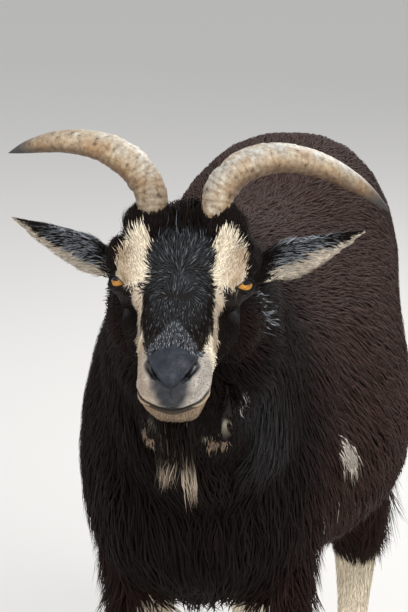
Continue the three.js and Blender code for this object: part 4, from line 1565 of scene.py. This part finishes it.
# ------------------------------------------------------------------ settings
class GoatSkinSettings(bpy.types.PropertyGroup):
    head_mesh: bpy.props.FloatProperty(
        name="Head mesh", description="Size of the faces of the head's skin",
        default=0.0024, min=0.001, unit="LENGTH", precision=4)
    body_mesh: bpy.props.FloatProperty(
        name="Body mesh", description="Size of the faces of the body's skin",
        default=0.0080, min=0.004, unit="LENGTH", precision=4)


class GoatCoatSettings(bpy.types.PropertyGroup):
    fullness: bpy.props.FloatProperty(
        name="Fullness", description="How many tufts grow, against the usual number",
        default=1.0, min=0.05, max=1.2, subtype="FACTOR")
    dark: bpy.props.FloatVectorProperty(
        name="Dark", description="Colour of the dark hair", default=(0.0050, 0.0040, 0.0034),
        size=3, min=0, max=1, subtype="COLOR")
    brown: bpy.props.FloatVectorProperty(
        name="Brown", description="Colour of the hair on back and sides",
        default=(0.044, 0.022, 0.017), size=3, min=0, max=1, subtype="COLOR")
    # The grey's cool tint is a painted reflection of the sky; the painted sheen on face and neck
    # blends this grey in.
    grey: bpy.props.FloatVectorProperty(
        name="Grey", description="Colour of the grey hairs", default=(0.315, 0.342, 0.372),
        size=3, min=0, max=1, subtype="COLOR")
    cream: bpy.props.FloatVectorProperty(
        name="Cream", description="Colour of the brows and the lower legs",
        default=(0.97, 0.85, 0.66), size=3, min=0, max=1, subtype="COLOR")
    tan: bpy.props.FloatVectorProperty(
        name="Tan", description="Colour of the chin and the edges of the pale marks",
        default=(0.42, 0.28, 0.16), size=3, min=0, max=1, subtype="COLOR")
    muzzle: bpy.props.FloatVectorProperty(
        name="Muzzle", description="Colour of the sides of the muzzle",
        default=(0.48, 0.43, 0.375), size=3, min=0, max=1, subtype="COLOR")


class GoatStageSettings(bpy.types.PropertyGroup):
    floor_size: bpy.props.FloatProperty(
        name="Floor", description="Width of the studio floor", default=30, unit="LENGTH")
    floor_colour: bpy.props.FloatVectorProperty(
        name="Floor colour", description="Colour of the studio floor",
        default=(0.62, 0.60, 0.57), size=3, min=0, max=1, subtype="COLOR")
    sky_strength: bpy.props.FloatProperty(
        name="Sky", description="Strength of the light from all round", default=0.75)
    key_power: bpy.props.FloatProperty(
        name="Key light", description="Power of the main lamp", default=98, subtype="POWER")
    fill_power: bpy.props.FloatProperty(
        name="Fill light", description="Power of the soft lamp", default=30, subtype="POWER")
    back_power: bpy.props.FloatProperty(
        name="Back light", description="Power of the lamp behind", default=80,
        subtype="POWER")


# ------------------------------------------------------------------ operators and panel
class GOAT_OT_stage(bpy.types.Operator):
    """Lays the floor and sets the lamps and the camera"""
    bl_idname = "goat.stage"
    bl_label = "Stage"

    def execute(self, context):
        build_stage()
        return {"FINISHED"}


class GOAT_OT_skin(bpy.types.Operator):
    """Makes one skin over the head, neck, trunk, tail and legs"""
    bl_idname = "goat.skin"
    bl_label = "Skin"

    def execute(self, context):
        build_skin()
        return {"FINISHED"}


class GOAT_OT_horns(bpy.types.Operator):
    """Makes the ringed sheaths of the two horns"""
    bl_idname = "goat.horns"
    bl_label = "Horns"

    def execute(self, context):
        for name in SIDES:
            build_horn(name)
        return {"FINISHED"}


class GOAT_OT_eyes(bpy.types.Operator):
    """Makes the two eyeballs with their level pupils"""
    bl_idname = "goat.eyes"
    bl_label = "Eyes"

    def execute(self, context):
        for name in SIDES:
            build_eye(name)
        return {"FINISHED"}


class GOAT_OT_claws(bpy.types.Operator):
    """Makes the claws and dewclaws of the four feet"""
    bl_idname = "goat.claws"
    bl_label = "Claws"

    def execute(self, context):
        build_claws()
        return {"FINISHED"}


class GOAT_OT_coat(bpy.types.Operator):
    """Grows the tufts of the coat over the skin"""
    bl_idname = "goat.coat"
    bl_label = "Coat"

    def execute(self, context):
        build_coat()
        build_beard()
        return {"FINISHED"}


class GOAT_PT_panel(bpy.types.Panel):
    bl_label = "Goat"
    bl_idname = "GOAT_PT_panel"
    bl_space_type = "VIEW_3D"
    bl_region_type = "UI"
    bl_category = "Goat"

    def draw(self, context):
        for operator in OPERATORS:
            self.layout.operator(operator.bl_idname)


SETTINGS = {
    "goat_skin": GoatSkinSettings,
    "goat_coat": GoatCoatSettings,
    "goat_stage": GoatStageSettings,
}
OPERATORS = [GOAT_OT_stage, GOAT_OT_skin, GOAT_OT_horns, GOAT_OT_eyes, GOAT_OT_claws,
             GOAT_OT_coat]
CLASSES = [*SETTINGS.values(), *OPERATORS, GOAT_PT_panel]


def register():
    for made in CLASSES:
        bpy.utils.register_class(made)
    for name, made in SETTINGS.items():
        setattr(bpy.types.Scene, name, bpy.props.PointerProperty(type=made))


def unregister():
    for name in SETTINGS:
        delattr(bpy.types.Scene, name)
    for made in reversed(CLASSES):
        bpy.utils.unregister_class(made)


def main():
    register()
    for operator in OPERATORS:
        group, name = operator.bl_idname.split(".")
        getattr(getattr(bpy.ops, group), name)()


if __name__ == "__main__":
    main()
